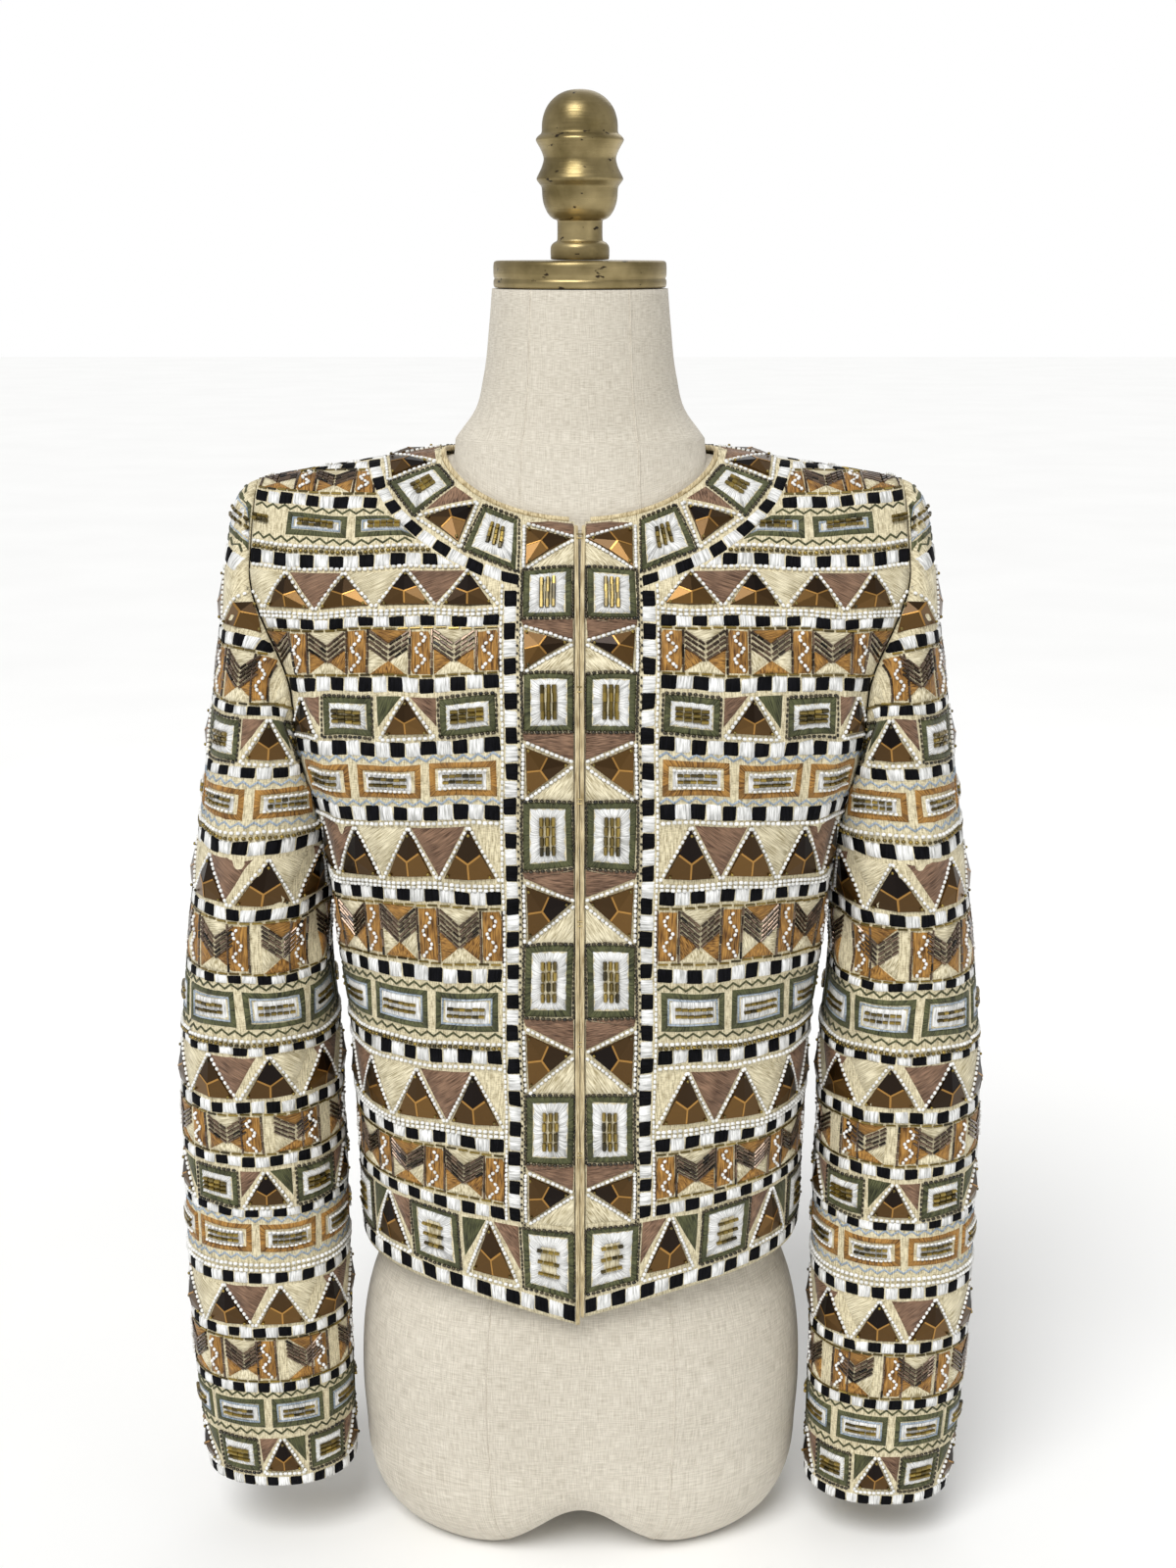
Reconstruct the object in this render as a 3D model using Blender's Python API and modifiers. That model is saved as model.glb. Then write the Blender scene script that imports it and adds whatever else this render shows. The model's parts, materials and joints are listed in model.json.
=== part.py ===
"""Beaded collarless jacket on a limbless dress form with a turned brass finial.

Lengths are in millimetres until a mesh is made, where MM turns them into metres.
+X is the photograph's right, -Y the front, +Z up. Z = 0 is what the form stands on.

Every cloth piece is cut on a chart: u runs round the piece and v runs up it, both
in millimetres of cloth. A chart turns (u, v) into a point of the worn jacket, so
outlines, seams and raised beads are all laid out flat and then worn.
"""
import math
from collections import namedtuple

import bpy
import numpy as np
from mathutils.geometry import delaunay_2d_cdt

MM = 0.001
BOX_SHIFT_Y = 6.33

WALL = 2.4
SEAM_GAP = 0.3
SLEEVE_SEAM_GAP = 0.55
ARMHOLE_GAP = 0.75
STUD_HEIGHT = 2.8
OUTLINE_STEP = 15.0
OUTER_STEP = 21.0
INNER_STEP = 27.0

CHEST_Z = 560.0
UNDERARM_Z = 489.0
HEM_V = {"left": 176.0, "right": 181.0}
BACK_HEM_V = 176.0
CUFF_Z = {"left": 45.0, "right": 31.0}
FRONT_EDGE_U = 3.3

SHOULDER_X = 197.0
SHOULDER_Y = 5.0
RIDGE_TOP_Z = 722.0
RIDGE_FALL = 0.18
RIDGE_ROUNDING = 45.0
ARMHOLE_CHEST_X = 171.0
ARMHOLE_CHEST_Y = {"front": 66.0, "back": 60.0}
NECK_HALF_WIDTH = 85.0
NECK_FRONT_DEPTH = 65.0
NECK_BACK_DEPTH = 62.0
NECK_ROUNDNESS = 2.2
NECK_HUB_RISE = 30.0
NECK_REACH = 160.0

BODY_V = (150.0, 800.0)
CHART_STEP = 4.0

BodySection = namedtuple("BodySection", "z half_width front back squareness")
BODY_SECTIONS = (
    BodySection(150, 141, 104, 101, 2.3),
    BodySection(195, 141, 104, 100, 2.3),
    BodySection(265, 143, 106, 97, 2.4),
    BodySection(365, 147, 110, 92, 2.5),
    BodySection(430, 154, 113, 94, 2.6),
    BodySection(489, 165, 116, 100, 2.75),
    BodySection(520, 177, 118, 104, 2.8),
    BodySection(560, 185, 117, 106, 2.8),
)

# How far a level thread has dropped or risen at the side seam, by height.
ThreadDrop = namedtuple("ThreadDrop", "v rise")
THREAD_DROPS = (
    ThreadDrop(150, 27), ThreadDrop(176, 26), ThreadDrop(265, 10), ThreadDrop(365, -8),
    ThreadDrop(560, -12), ThreadDrop(640, -6), ThreadDrop(700, 0), ThreadDrop(820, 0),
)

# How far a front's level thread climbs between the centre and the side seam.
HEM_SWEEPS = (
    ThreadDrop(150, 14), ThreadDrop(176, 14), ThreadDrop(240, 7), ThreadDrop(297, 0),
    ThreadDrop(365, 0), ThreadDrop(820, 0),
)

SleeveSection = namedtuple("SleeveSection", "z outer width centre_y half_depth")
SLEEVE_SECTIONS = (
    SleeveSection(15, 241, 91, -24, 43),
    SleeveSection(45, 245, 95, -24, 44),
    SleeveSection(126, 252, 101, -22, 48),
    SleeveSection(228, 254, 102, -18, 53),
    SleeveSection(326, 253.5, 99.5, -13, 58),
    SleeveSection(420, 244.5, 85, -7, 66),
    SleeveSection(492, 235, 86, -2, 71),
    SleeveSection(543, 228, 87, 0, 73),
    SleeveSection(612, 219, 88, 2, 72),
    SleeveSection(660, 214, 88, 4, 68),
)
SLEEVE_V = (20.0, 760.0)
SLEEVE_SQUARENESS = 2.2
BICEP_Z = 430.0
CAP_Z = 642.0
FRONT_SEAM_TURN = 45.0
BACK_SEAM_TURN = 236.25
ARMHOLE_STEPS = 16
RIDGE_STEPS = 9
SIDE_STEPS = 21
SIDE_START_V = 192.0
SEAM_FADE = 26.0
CHART_OVERLAP = 36.0
SLEEVE_COLUMNS = 141
# Pieces that share a seam split its rim the same way, by this order of points.
RIM_ORDER = np.array([0.0, 0.37, 1.0])

# A ridge's place is u on the body and the turn in degrees on a sleeve.
Fold = namedtuple("Fold", "place v lean width length height")
BODY_FOLDS = (
    Fold(160, 560, 0.20, 11, 60, 4.0),
    Fold(168, 440, -0.30, 14, 70, 3.5),
    Fold(120, 300, 0.30, 20, 90, 2.0),
)
SLEEVE_FOLDS = (
    Fold(128, 500, -0.55, 13, 55, 4.5),
    Fold(98, 452, -0.75, 12, 50, 3.5),
    Fold(140, 395, 0.70, 14, 50, 3.5),
    Fold(110, 310, -0.45, 15, 55, 2.5),
    Fold(300, 480, 0.60, 15, 60, 3.0),
    Fold(255, 380, -0.60, 15, 55, 3.0),
)

# Rows of pressed triangular studs, by the heights of their foot and tip.
StudRow = namedtuple("StudRow", "foot tip pitch width")
BODY_STUDS = (
    StudRow(307, 341, 37, 32),
    StudRow(465, 497, 37, 32),
    StudRow(628, 650, 36, 30),
    StudRow(193, 232, 74, 32),
    StudRow(552, 577, 72, 30),
)
SLEEVE_STUDS = (
    StudRow(158, 186, 37, 31),
    StudRow(311, 340, 38, 32),
    StudRow(436, 467, 38, 32),
    StudRow(603, 634, 38, 32),
    StudRow(54, 80, 72, 30),
    StudRow(239, 265, 74, 30),
    StudRow(522, 551, 74, 30),
)
COLUMN_U = (7.0, 33.0)
COLUMN_STUDS_V = (261.0, 354.0, 450.0, 536.0, 604.0, 667.0)
COLUMN_STUD_HEIGHT = 31.0
BAND_START_U = 46.0

FormSection = namedtuple("FormSection", "z half_width front back squareness")
FORM_SECTIONS = (
    FormSection(62, 143, 92, 100, 2.2),
    FormSection(95, 145, 95, 103, 2.2),
    FormSection(160, 139, 93, 95, 2.2),
    FormSection(195, 127, 88, 87, 2.2),
    FormSection(260, 112, 82, 78, 2.2),
    FormSection(330, 105, 80, 72, 2.2),
    FormSection(400, 112, 86, 76, 2.2),
    FormSection(470, 126, 98, 84, 2.3),
    FormSection(540, 138, 106, 90, 2.4),
    FormSection(600, 147, 92, 92, 2.3),
    FormSection(628, 150, 80, 88, 2.1),
    FormSection(706, 79, 60, 56, 2.1),
    FormSection(714, 73.5, 57, 54.5, 2.0),
    FormSection(727, 64, 56, 54, 2.0),
    FormSection(748, 58.2, 54, 54, 2.0),
    FormSection(779, 54.4, 53, 52, 2.0),
    FormSection(799.7, 52.6, 52, 51, 2.0),
)
FORM_COLUMNS = 32
FORM_LEVELS = (62, 100, 135, 170, 205, 240, 275, 315, 355, 395, 435, 475, 515, 555, 595, 628)
NECK_LEVELS = (714, 727, 745, 770, 799.7)
SHOULDER_SHARES = (0.16, 0.34, 0.52, 0.68, 0.82, 0.93, 1.0)
LOBE_RADII = (0.985, 0.94, 0.86, 0.74, 0.58, 0.4, 0.2)
LOBE_EDGE_HEIGHT = 62.0
LOBE_SINK = 6.0
LOBE_SQUARENESS = 7
ARCH_HEIGHT = 33.0
ARCH_WIDTH = 36.0
SHOULDER_CLEARANCE = 3.4
NECK_BASE_RATIO = 0.9
NECK_BASE_Z = 706.0

CAP_RADIUS = 51.7
CAP_Z0 = 800.0
CAP_Z1 = 816.0
FINIAL_Z0 = 816.3

# Radius of the finial by height above the cap.
FINIAL_PROFILE = (
    (17.2, 0.0), (17.4, 7.0), (16.0, 10.0), (13.4, 11.4), (13.4, 22.0), (15.6, 24.2), (19.4, 27.4),
    (21.8, 32.0), (22.4, 40.0), (25.4, 46.6), (22.4, 53.4), (21.2, 58.0), (23.0, 63.4), (25.6, 69.0),
    (22.4, 73.6), (22.2, 78.0), (20.6, 84.6), (16.9, 90.3), (11.2, 94.6), (5.0, 97.0),
)

CORD_RADIUS = 1.25
BINDING_RADIUS = 1.6
BINDING_GAP = 0.5
HOOK_VS = (671.0, 578.0, 513.0, 438.0, 362.0, 290.0)
HOOK_WIRE = 0.45


def smooth_curve(x, xs, ys):
    """Read a cubic curve through the table rows, flat beyond its ends."""
    xs = np.asarray(xs, float)
    ys = np.asarray(ys, float)
    slopes = np.gradient(ys, xs)
    x = np.clip(x, xs[0], xs[-1])
    i = np.clip(np.searchsorted(xs, x) - 1, 0, len(xs) - 2)
    h = xs[i + 1] - xs[i]
    t = (x - xs[i]) / h
    start = (1 + 2 * t) * (1 - t) ** 2 * ys[i] + t * (1 - t) ** 2 * h * slopes[i]
    end = t * t * (3 - 2 * t) * ys[i + 1] + t * t * (t - 1) * h * slopes[i + 1]
    return start + end


def column(rows, name):
    """One named column of a table."""
    return [getattr(row, name) for row in rows]


def read(rows, name, z):
    """A table's column at height z."""
    return smooth_curve(z, column(rows, "z"), column(rows, name))


def oval_radius(turn, half_width, depth, squareness):
    """Radius of a squared oval at a turn from its depth axis."""
    wide = np.abs(np.sin(turn)) / half_width
    deep = np.abs(np.cos(turn)) / depth
    return (wide ** squareness + deep ** squareness) ** (-1.0 / squareness)


def thread_rise(s, v, side):
    """Height of a level thread above v at the share s of the way to the side."""
    at_seam = smooth_curve(v, column(THREAD_DROPS, "v"), column(THREAD_DROPS, "rise"))
    if side == "back":
        return at_seam * s ** 2
    sweep = smooth_curve(v, column(HEM_SWEEPS, "v"), column(HEM_SWEEPS, "rise"))
    return at_seam * s ** 2 + sweep * math.sin(math.pi * s)


def armhole_turn(z, side):
    """Turn from the centre line to the armhole, or to the side seam below it."""
    chest_turn = math.atan2(ARMHOLE_CHEST_X, ARMHOLE_CHEST_Y[side])
    share = np.clip((z - UNDERARM_Z) / (CHEST_Z - UNDERARM_Z), 0.0, 1.0)
    opened = (share * (2.0 - share)) ** 0.7
    return math.pi / 2 - (math.pi / 2 - chest_turn) * opened


def body_section_point(s, z, side):
    """Point of the worn body below the chest line; side is front or back."""
    depth = read(BODY_SECTIONS, side, z)
    turn = s * armhole_turn(z, side)
    radius = oval_radius(turn, read(BODY_SECTIONS, "half_width", z), depth,
                         read(BODY_SECTIONS, "squareness", z))
    facing = -1.0 if side == "front" else 1.0
    return np.stack([radius * np.sin(turn), facing * radius * np.cos(turn), z + 0 * s], -1)


def ridge_z(x):
    """Height of the shoulder ridge, rounded over the middle."""
    return RIDGE_TOP_Z - RIDGE_FALL * np.hypot(x, RIDGE_ROUNDING)


def shoulder_profile(s, side):
    """Column of points from the chest line up to the shoulder ridge."""
    chest = body_section_point(np.array(s), np.array(CHEST_Z), side)
    ridge_x = chest[0] * SHOULDER_X / ARMHOLE_CHEST_X
    ridge_y = SHOULDER_Y * (ridge_x / SHOULDER_X) ** 2
    power = 1.5 + 0.1 * s if side == "front" else 3.0 - 1.0 * s
    turn = np.linspace(0.0, math.pi / 2, 90)
    rise = np.sin(turn) ** (2.0 / power)
    back_off = np.cos(turn) ** (2.0 / power)
    spread = np.clip(rise / 0.62, 0.0, 1.0)
    spread = spread * spread * (3 - 2 * spread)
    return np.stack([
        chest[0] + (ridge_x - chest[0]) * spread,
        ridge_y + (chest[1] - ridge_y) * back_off,
        CHEST_Z + (ridge_z(ridge_x) - CHEST_Z) * rise,
    ], -1)


def lengths(points):
    """Length along a row of points, from its first."""
    steps = np.linalg.norm(np.diff(points, axis=0), axis=1)
    return np.concatenate([[0.0], np.cumsum(steps)])


def along(curve, measure, reach, overrun):
    """Points of a curve at given lengths, run on straight past its end."""
    inside = np.minimum(reach, measure[-1])
    points = np.stack([np.interp(inside, measure, curve[:, k]) for k in range(3)], -1)
    return points + np.maximum(reach - measure[-1], 0.0)[:, None] * overrun


class Chart:
    """Worn points of a cloth piece on a level grid of u and v."""

    def __init__(self, rows, u_rows, v, outward):
        width = max(row[-1] for row in u_rows) + 3 * CHART_STEP
        self.u = np.arange(0.0, width, CHART_STEP)
        self.v = v
        self.edge = np.array([row[-1] for row in u_rows])
        self.points = np.stack([self.resample(p, u) for p, u in zip(rows, u_rows)])
        self.outward = outward
        self.normals = self.slopes_crossed()

    def resample(self, points, u):
        end = (points[-1] - points[-2]) / (u[-1] - u[-2])
        return along(points, u, self.u, end)

    def slopes_crossed(self):
        du = np.gradient(self.points, axis=1)
        dv = np.gradient(self.points, axis=0)
        cross = np.cross(du, dv) * self.outward
        return cross / np.linalg.norm(cross, axis=-1, keepdims=True)

    def fold(self, height):
        """Raise soft ridges by a height for each place of the grid."""
        self.points = self.points + self.normals * height[..., None]
        self.normals = self.slopes_crossed()

    def blend(self, grid, u, v):
        """Read a grid between its rows and columns; u below 0 is the other side."""
        i = np.clip((np.asarray(v) - self.v[0]) / (self.v[1] - self.v[0]), 0, len(self.v) - 1.001)
        j = np.clip(np.abs(u) / CHART_STEP, 0, len(self.u) - 1.001)
        i0 = i.astype(int)
        j0 = j.astype(int)
        a = (i - i0)[:, None]
        b = (j - j0)[:, None]
        low = grid[i0, j0] * (1 - b) + grid[i0, j0 + 1] * b
        high = grid[i0 + 1, j0] * (1 - b) + grid[i0 + 1, j0 + 1] * b
        found = low * (1 - a) + high * a
        found[:, 0] *= np.where(np.asarray(u) < 0, -1.0, 1.0)
        return found

    def at(self, uv):
        return self.blend(self.points, uv[:, 0], uv[:, 1])

    def normal(self, uv):
        found = self.blend(self.normals, uv[:, 0], uv[:, 1])
        return found / np.linalg.norm(found, axis=1, keepdims=True)

    def edge_at(self, v):
        return np.interp(v, self.v, self.edge)


class BodyChart(Chart):
    """Half a front or half the back, u from the centre line."""

    def __init__(self, side):
        self.side = side
        self.s = np.linspace(0.0, 1.0, 71)
        v = np.arange(BODY_V[0], BODY_V[1], CHART_STEP)
        columns = [self.column_points(s, v) for s in self.s]
        rows = np.stack(columns, axis=1)
        u_rows = [lengths(row) for row in rows]
        self.u_rows = np.stack(u_rows)
        super().__init__(rows, u_rows, v, 1.0 if side == "front" else -1.0)
        self.ridge = self.ridge_line()
        self.fold(self.fold_height())
        self.normals[:, 0, 0] = 0.0

    def fold_height(self):
        """Leaning ridges that die out before the side seam and armhole."""
        u, v = np.meshgrid(self.u, self.v)
        fade = np.clip((self.edge[:, None] - u) / SEAM_FADE, 0.0, 1.0) ** 2
        return fade * ridge_height(BODY_FOLDS, u, v, lambda across: across)

    def column_points(self, s, v):
        reach = v + thread_rise(s, v, self.side)
        low = body_section_point(np.full_like(v, s), np.minimum(reach, CHEST_Z), self.side)
        profile = shoulder_profile(s, self.side)
        over = np.array([0.0, 1.0 if self.side == "front" else -1.0, 0.0])
        high = along(profile, lengths(profile), np.maximum(reach - CHEST_Z, 0.0), over)
        return np.where((reach > CHEST_Z)[:, None], high, low)

    def ridge_line(self):
        """The shoulder seam from the neck side to the armhole: u, v, neck ratio and x."""
        line = []
        for k in range(9, len(self.s)):
            profile = shoulder_profile(self.s[k], self.side)
            v = CHEST_Z + lengths(profile)[-1]
            u = np.interp(v, self.v, self.u_rows[:, k])
            line.append((u, v, neck_ratio(profile[-1]), profile[-1][0]))
        return np.array(line)

    def neck_corner(self):
        """Where the shoulder seam meets the neckline: u, v and x."""
        return np.array([np.interp(1.0, self.ridge[:, 2], self.ridge[:, k]) for k in (0, 1, 3)])

    def ridge_stations(self):
        """Chart points of the shoulder seam at even x, from the armhole to the neck."""
        x = np.linspace(self.ridge[-1, 3], self.neck_corner()[2], RIDGE_STEPS + 1)
        return np.stack([np.interp(x, self.ridge[:, 3], self.ridge[:, k]) for k in (0, 1)], -1)

    def armhole_line(self):
        """Chart points of the armhole from the shoulder down to the underarm."""
        v = np.linspace(self.ridge[-1, 1], self.underarm_v(), 120)
        return np.stack([self.edge_at(v), v], -1)

    def armhole_stations(self):
        """The armhole's points at even lengths, which the sleeve shares."""
        line = self.armhole_line()
        measure = lengths(self.at(line))
        even = np.linspace(0.0, measure[-1], ARMHOLE_STEPS + 1)
        v = np.interp(even, measure, line[:, 1])
        return np.stack([self.edge_at(v), v], -1)

    def side_stations(self, hem_v):
        """The side seam's points from the hem to the underarm."""
        v = np.append(hem_v, np.linspace(SIDE_START_V, self.underarm_v(), SIDE_STEPS))
        return np.stack([self.edge_at(v), v], -1)

    def neckline(self, count):
        """Chart points from the neck corner round to the centre line."""
        corner = self.neck_corner()[:2]
        hub = np.array([0.0, corner[1] + NECK_HUB_RISE])
        first = math.atan2(corner[1] - hub[1], corner[0])
        reach = np.arange(0.0, NECK_REACH, 1.0)
        line = [corner]
        for angle in np.linspace(first, -math.pi / 2, count)[1:]:
            ray = hub + reach[:, None] * np.array([math.cos(angle), math.sin(angle)])
            ratio = neck_ratio(self.at(ray))
            k = int(np.argmax(ratio > 1.0))
            share = (1.0 - ratio[k - 1]) / (ratio[k] - ratio[k - 1])
            line.append(ray[k - 1] + (ray[k] - ray[k - 1]) * share)
        line[-1][0] = 0.0
        return np.array(line)

    def underarm_v(self):
        rise = self.v + thread_rise(1.0, self.v, self.side)
        return float(np.interp(UNDERARM_Z, rise, self.v))


def ridge_height(folds, place, v, wrap):
    """Summed height of soft ridges, each leaning as it climbs."""
    height = np.zeros_like(v)
    for f in folds:
        across = wrap(place - f.place - f.lean * (v - f.v)) / f.width
        height = height + f.height * np.exp(-across ** 2 - ((v - f.v) / f.length) ** 2)
    return height


def neck_ratio(point):
    """1 on the neckline as seen from above, less inside it."""
    x, y = point[..., 0], point[..., 1]
    depth = np.where(y < 0, NECK_FRONT_DEPTH, NECK_BACK_DEPTH)
    ratio = np.abs(x / NECK_HALF_WIDTH) ** NECK_ROUNDNESS + np.abs(y / depth) ** NECK_ROUNDNESS
    return ratio ** (1.0 / NECK_ROUNDNESS)


def armhole(front, back, turn):
    """Armhole point for a turn of the sleeve: 0 at the shoulder, 180 underarm."""
    chart = front if turn <= 180 else back
    share = turn / 180 if turn <= 180 else (360 - turn) / 180
    line = chart.at(chart.armhole_line())
    measure = lengths(line)
    point = np.array([np.interp(share * measure[-1], measure, line[:, k]) for k in range(3)])
    return point + np.array([ARMHOLE_GAP, 0.0, 0.0])


def tube_point(turn, z):
    """Point of the sleeve tube; turn 0 is outermost and 90 is the front."""
    half = read(SLEEVE_SECTIONS, "width", z) / 2
    centre_x = read(SLEEVE_SECTIONS, "outer", z) - half
    depth = read(SLEEVE_SECTIONS, "half_depth", z)
    angle = np.radians(turn)
    radius = oval_radius(angle, depth, half, SLEEVE_SQUARENESS)
    y = read(SLEEVE_SECTIONS, "centre_y", z) - radius * np.sin(angle)
    return np.stack([centre_x + radius * np.cos(angle), y, z + 0 * half], -1)


def sleeve_column(turn, front, back):
    """Column of the sleeve from the cuff to the armhole, and its top height."""
    angle = math.radians(turn)
    join_z = BICEP_Z + (CAP_Z - BICEP_Z) * (0.5 + 0.5 * math.cos(angle))
    z = np.arange(SLEEVE_V[0], join_z, 6.0)
    z = np.append(z, join_z)
    tube = tube_point(turn, z)
    seam = armhole(front, back, turn % 360)
    away = sleeve_leaving(turn)
    span = np.linalg.norm(seam - tube[-1])
    rising = (tube[-1] - tube[-2]) / np.linalg.norm(tube[-1] - tube[-2])
    towards = (seam - tube[-1]) / span
    leaving_tube = rising + towards * math.sin(angle / 2) ** 2
    leaving_tube = leaving_tube / np.linalg.norm(leaving_tube)
    t = np.linspace(0.0, 1.0, 24)[1:, None]
    cap = ((1 + 2 * t) * (1 - t) ** 2 * tube[-1] + t * (1 - t) ** 2 * span * leaving_tube
           + t * t * (3 - 2 * t) * seam + t * t * (1 - t) * span * away)
    curve = np.vstack([tube, cap])
    measure = np.concatenate([z, join_z + lengths(np.vstack([tube[-1:], cap]))[1:]])
    return curve, measure, -away


def sleeve_leaving(turn):
    """Direction in which the sleeve leaves the armhole."""
    angle = math.radians(turn)
    under = 0.5 - 0.5 * math.cos(angle)
    direction = np.array([
        0.98 - 0.66 * under ** 1.5,
        -0.30 * math.sin(angle),
        -0.20 - 0.80 * under,
    ])
    return direction / np.linalg.norm(direction)


class SleeveChart(Chart):
    """The whole sleeve with an overlap at its front seam, u from the first turn."""

    def __init__(self, front, back):
        first_turn = FRONT_SEAM_TURN - CHART_OVERLAP
        last_turn = FRONT_SEAM_TURN + 360.0 + CHART_OVERLAP
        self.turns = np.linspace(first_turn, last_turn, SLEEVE_COLUMNS)
        v = np.arange(SLEEVE_V[0], SLEEVE_V[1], CHART_STEP)
        columns = []
        top = []
        for turn in self.turns:
            curve, measure, over = sleeve_column(turn, front, back)
            columns.append(along(curve, measure, v, over))
            top.append(measure[-1])
        self.top = np.array(top)
        rows = np.stack(columns, axis=1)
        u_rows = [lengths(tube_point(self.turns, np.full_like(self.turns, min(z, BICEP_Z)))) for z in v]
        self.u_rows = np.stack(u_rows)
        super().__init__(rows, u_rows, v, -1.0)
        self.fold(self.fold_height())

    def fold_height(self):
        """Leaning ridges that die out before the armhole."""
        v = np.meshgrid(self.u, self.v)[1]
        turn = np.stack([np.interp(self.u, row, self.turns) for row in self.u_rows])
        top = np.interp(turn, self.turns, self.top)
        fade = np.clip((top - v) / SEAM_FADE, 0.0, 1.0) ** 2
        return fade * ridge_height(SLEEVE_FOLDS, turn, v, lambda across: (across + 180.0) % 360.0 - 180.0)

    def u_at(self, turn, v):
        """Chart u of a turn at one height."""
        k = int(np.clip(round((v - self.v[0]) / CHART_STEP), 0, len(self.v) - 1))
        return float(np.interp(turn, self.turns, self.u_rows[k]))

    def line_at(self, turn, v):
        return np.array([(self.u_at(turn, each), each) for each in v])

    def turn_at(self, u, v):
        k = int(np.clip(round((v - self.v[0]) / CHART_STEP), 0, len(self.v) - 1))
        return float(np.interp(u, self.u_rows[k], self.turns))

    def top_stations(self, first_turn, last_turn):
        """The armhole seam on the chart, from the last seam to the first."""
        step = 180.0 / ARMHOLE_STEPS
        turns = np.linspace(last_turn, first_turn, round((last_turn - first_turn) / step) + 1)
        v = np.interp(turns, self.turns, self.top)
        return np.array([(self.u_at(a, b), b) for a, b in zip(turns, v)])


def thin(line, step):
    """Even points along a line, about a step apart, ends kept."""
    line = np.asarray(line, float)
    measure = lengths(line)
    count = max(2, round(measure[-1] / step) + 1)
    even = np.linspace(0.0, measure[-1], count)
    return np.stack([np.interp(even, measure, line[:, k]) for k in range(line.shape[1])], -1)


def join_lines(*lines):
    """One closed outline from lines that meet end to end."""
    return np.vstack([line[:-1] for line in lines])


def inside_outline(points, outline, margin):
    """Which points lie inside an outline and at least a margin from it."""
    a = outline
    b = np.roll(outline, -1, axis=0)
    x, y = points[:, 0:1], points[:, 1:2]
    crosses = (a[:, 1] > y) != (b[:, 1] > y)
    rise = np.where(b[:, 1] == a[:, 1], 1e-9, b[:, 1] - a[:, 1])
    left = x < a[:, 0] + (b[:, 0] - a[:, 0]) * (y - a[:, 1]) / rise
    within = (crosses & left).sum(axis=1) % 2 == 1
    return within & (segment_distance(points, a, b).min(axis=1) > margin)


def segment_distance(points, a, b):
    """Distance of each point from each segment."""
    run = b - a
    size = np.maximum((run ** 2).sum(axis=1), 1e-12)
    to = points[:, None, :] - a[None]
    share = np.clip((to * run).sum(axis=2) / size, 0.0, 1.0)
    return np.linalg.norm(to - share[..., None] * run, axis=2)


def level_grid(outline, step):
    """Staggered grid points over an outline's box."""
    low, high = outline.min(axis=0), outline.max(axis=0)
    rows = []
    for k, v in enumerate(np.arange(low[1] + step * 0.6, high[1], step * 0.87)):
        shift = step * 0.5 * (k % 2)
        u = np.arange(low[0] + step * 0.6 - shift, high[0], step)
        rows.append(np.stack([u, np.full_like(u, v)], -1))
    return np.vstack(rows)


def triangulate(outline, loose, edges):
    """Triangles inside an outline, by index into outline then loose points."""
    points = np.vstack([outline, loose]) if len(loose) else outline
    size = len(outline)
    ring = [(i, (i + 1) % size) for i in range(size)]
    found = delaunay_2d_cdt([tuple(p) for p in points], ring + edges, [], 0, 1e-6, True)
    if len(found[0]) != len(points):
        raise ValueError("a stud crosses the outline")
    source = [origins[0] for origins in found[3]]
    faces = np.array([[source[i] for i in face] for face in found[2]])
    return faces[inside_outline(points[faces].mean(axis=1), outline, 0.0)].tolist()


def stud_corners(u, foot, tip, width):
    return np.array([(u - width / 2, foot), (u + width / 2, foot), (u, tip)])


def sideways_stud(v, direction):
    """A stud of the front column, its tip towards the centre line."""
    inner, outer = COLUMN_U
    half = COLUMN_STUD_HEIGHT / 2
    corners = np.array([(outer, v - half), (outer, v + half), (inner, v)])
    return corners * np.array([direction, 1.0])


def row_studs(rows, first_u, last_u_at):
    """Studs of each row, spread evenly between the row's ends."""
    studs = []
    for row in rows:
        last_u = last_u_at((row.foot + row.tip) / 2)
        count = max(1, round((last_u - first_u) / row.pitch))
        pitch = (last_u - first_u) / count
        for k in range(count):
            studs.append(stud_corners(first_u + (k + 0.5) * pitch, row.foot, row.tip, row.width))
    return studs


def mirrored(studs):
    return [corners * np.array([-1.0, 1.0]) for corners in studs]


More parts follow.
